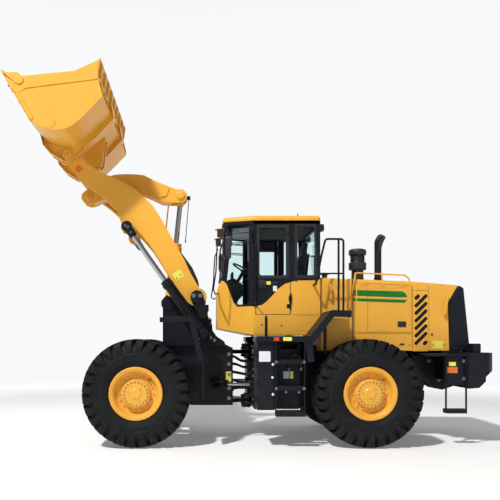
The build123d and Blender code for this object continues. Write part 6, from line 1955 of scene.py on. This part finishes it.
# ---- rear lamps, box on the counterweight, bolts, bars, patches ----
m, r_, o_, b, l_ = Mesh(), Mesh(), Mesh(), Mesh(), Mesh()
for s, h in ((-1, "left"), (1, "right")):
    xa, za = at(470.8, 343.5, -0.93)
    xb, zb = at(478.3, 351.8, -0.93)
    m.box(xa, xb, *sorted((s * 0.80, s * 1.02)), 1.3752, za, 0.015)
    r_.prism(rounded(rect(*sorted((s * 0.815, s * 0.905)), 1.395, za - 0.02), 0.012), xb, xb + 0.007, "yz")
    o_.prism(rounded(rect(*sorted((s * 0.915, s * 1.005)), 1.395, za - 0.02), 0.012), xb, xb + 0.007, "yz")
    # cover plate outside the frame, on ribs, with its bolts, bars and patches
    m.box(2.855, 3.185, *sorted((s * 1.045, s * 1.058)), 0.900, 1.3245, 0.012)
    for x in (2.905, 3.125):
        m.box(x, x + 0.014, *sorted((s * 0.560, s * 1.046)), 0.960, 1.3245)
    m.box(2.935, 3.228, *sorted((s * 0.562, s * 0.742)), 1.3612, 1.402)
    for px, py in ((428.9, 361), (438.4, 360.7), (465, 361), (438.7, 379.4), (465.7, 378.8)):
        x, z = at(px, py, -1.06)
        if x > 2.87:
            b.hexbolt((min(x, 3.155), s * 1.0582, z), (0, s, 0), 0.034)
        else:
            x, z = at(px, py, -0.56)
            b.hexbolt((x, s * 0.5602, z), (0, s, 0), 0.034)
    for nme, mat, x0_, x1_, y0_, y1_ in (("yellow", FOIL_YELLOW, 449, 456, 362, 366), ("orange", FOIL_ORANGE, 446.7, 457.6, 367, 373)):
        xa, za = at(x0_, y0_, -1.06)
        xb, zb = at(x1_, y1_, -1.06)
        patch(f"rear_patch_{nme}_{h}", mat, (xa + xb) / 2, (za + zb) / 2, xb - xa, za - zb, s * 1.0582, "rear_frame", 0.0, s)
m.done("rear_boxes", DARK, "rear_frame", bevel=0.004)
r_.done("rear_lamps_red", FOIL_RED, "rear_frame", bevel=0.002)
o_.done("rear_lamps_amber", FOIL_ORANGE, "rear_frame", bevel=0.002)
b.done("rear_plate_bolts", ZINC, "rear_frame", smooth=False)
# tow pin with its handle
m = Mesh()
m.cyl((3.520, 0, 1.02), (3.520, 0, 1.392), 0.0265, n=32)
m.lathe((3.520, 0, 1.3752), (0, 0, 1), [(0, 0.048), (0.012, 0.048), (0.016, 0.040), (0.016, 0.0)], 32)
m.tube([(3.520, -0.032, 1.39), (3.520, -0.032, 1.44), (3.520, 0.032, 1.44), (3.520, 0.032, 1.39)], 0.008, n=10, bend=0.025)
m.done("tow_pin_handle", STEEL, "rear_frame", bevel=0.002)
m, b = Mesh(), Mesh()
for s in (-1, 1):
    # lifting eyes of the weight, bolts on its top
    m.prism(rounded([(3.30, 1.3752), (3.30, 1.41), (3.33, 1.445), (3.37, 1.445), (3.40, 1.41), (3.40, 1.3752)], 0.012), *sorted((s * 0.60, s * 0.63)))
    b.hexbolt((3.30, s * 0.45, 1.3752), (0, 0, 1), 0.040)
    b.hexbolt((3.42, s * 0.45, 1.3752), (0, 0, 1), 0.040)
m.done("weight_eyes", DARK, "rear_frame", bevel=0.003)
b.done("weight_bolts", ZINC, "rear_frame", bevel=0.001, seg=1)

# ---- axle details ----
for ax_x, body, tag in ((-1.684, "front_frame", "front"), (1.690, "rear_frame", "rear")):
    m, b = Mesh(), Mesh()
    k = 1 if ax_x < 0 else -1
    m.lathe((ax_x, 0, 0.79), (k, 0, 0), [(0.0, 0.20), (0.20, 0.20), (0.215, 0.17), (0.26, 0.13), (0.30, 0.08), (0.31, 0.0)], 40)
    for i in range(12):
        th = i * pi / 6
        b.hexbolt((ax_x + k * 0.2, 0.182 * cos(th), 0.79 + 0.182 * sin(th)), (k, 0, 0), 0.022)
    for s in (-1, 1):
        m.lathe((ax_x, s * 0.60, 0.79), (0, s, 0), [(0, 0.155), (0.02, 0.162), (0.035, 0.162), (0.045, 0.14), (0.05, 0.0)], 40)
    m.done(f"{tag}_axle_covers", CAST, body, bevel=0.003)
    b.done(f"{tag}_axle_bolts", ZINC, body, smooth=False)

# =====================================================================
# bounds of the CAD model and of all shown geometry, written to extents.json
# =====================================================================
lo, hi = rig.bounds()
with open("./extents.json", "w") as f:
    json.dump({"cad": [list(CAD_LO), list(CAD_HI)], "visual": [list(lo), list(hi)]}, f)
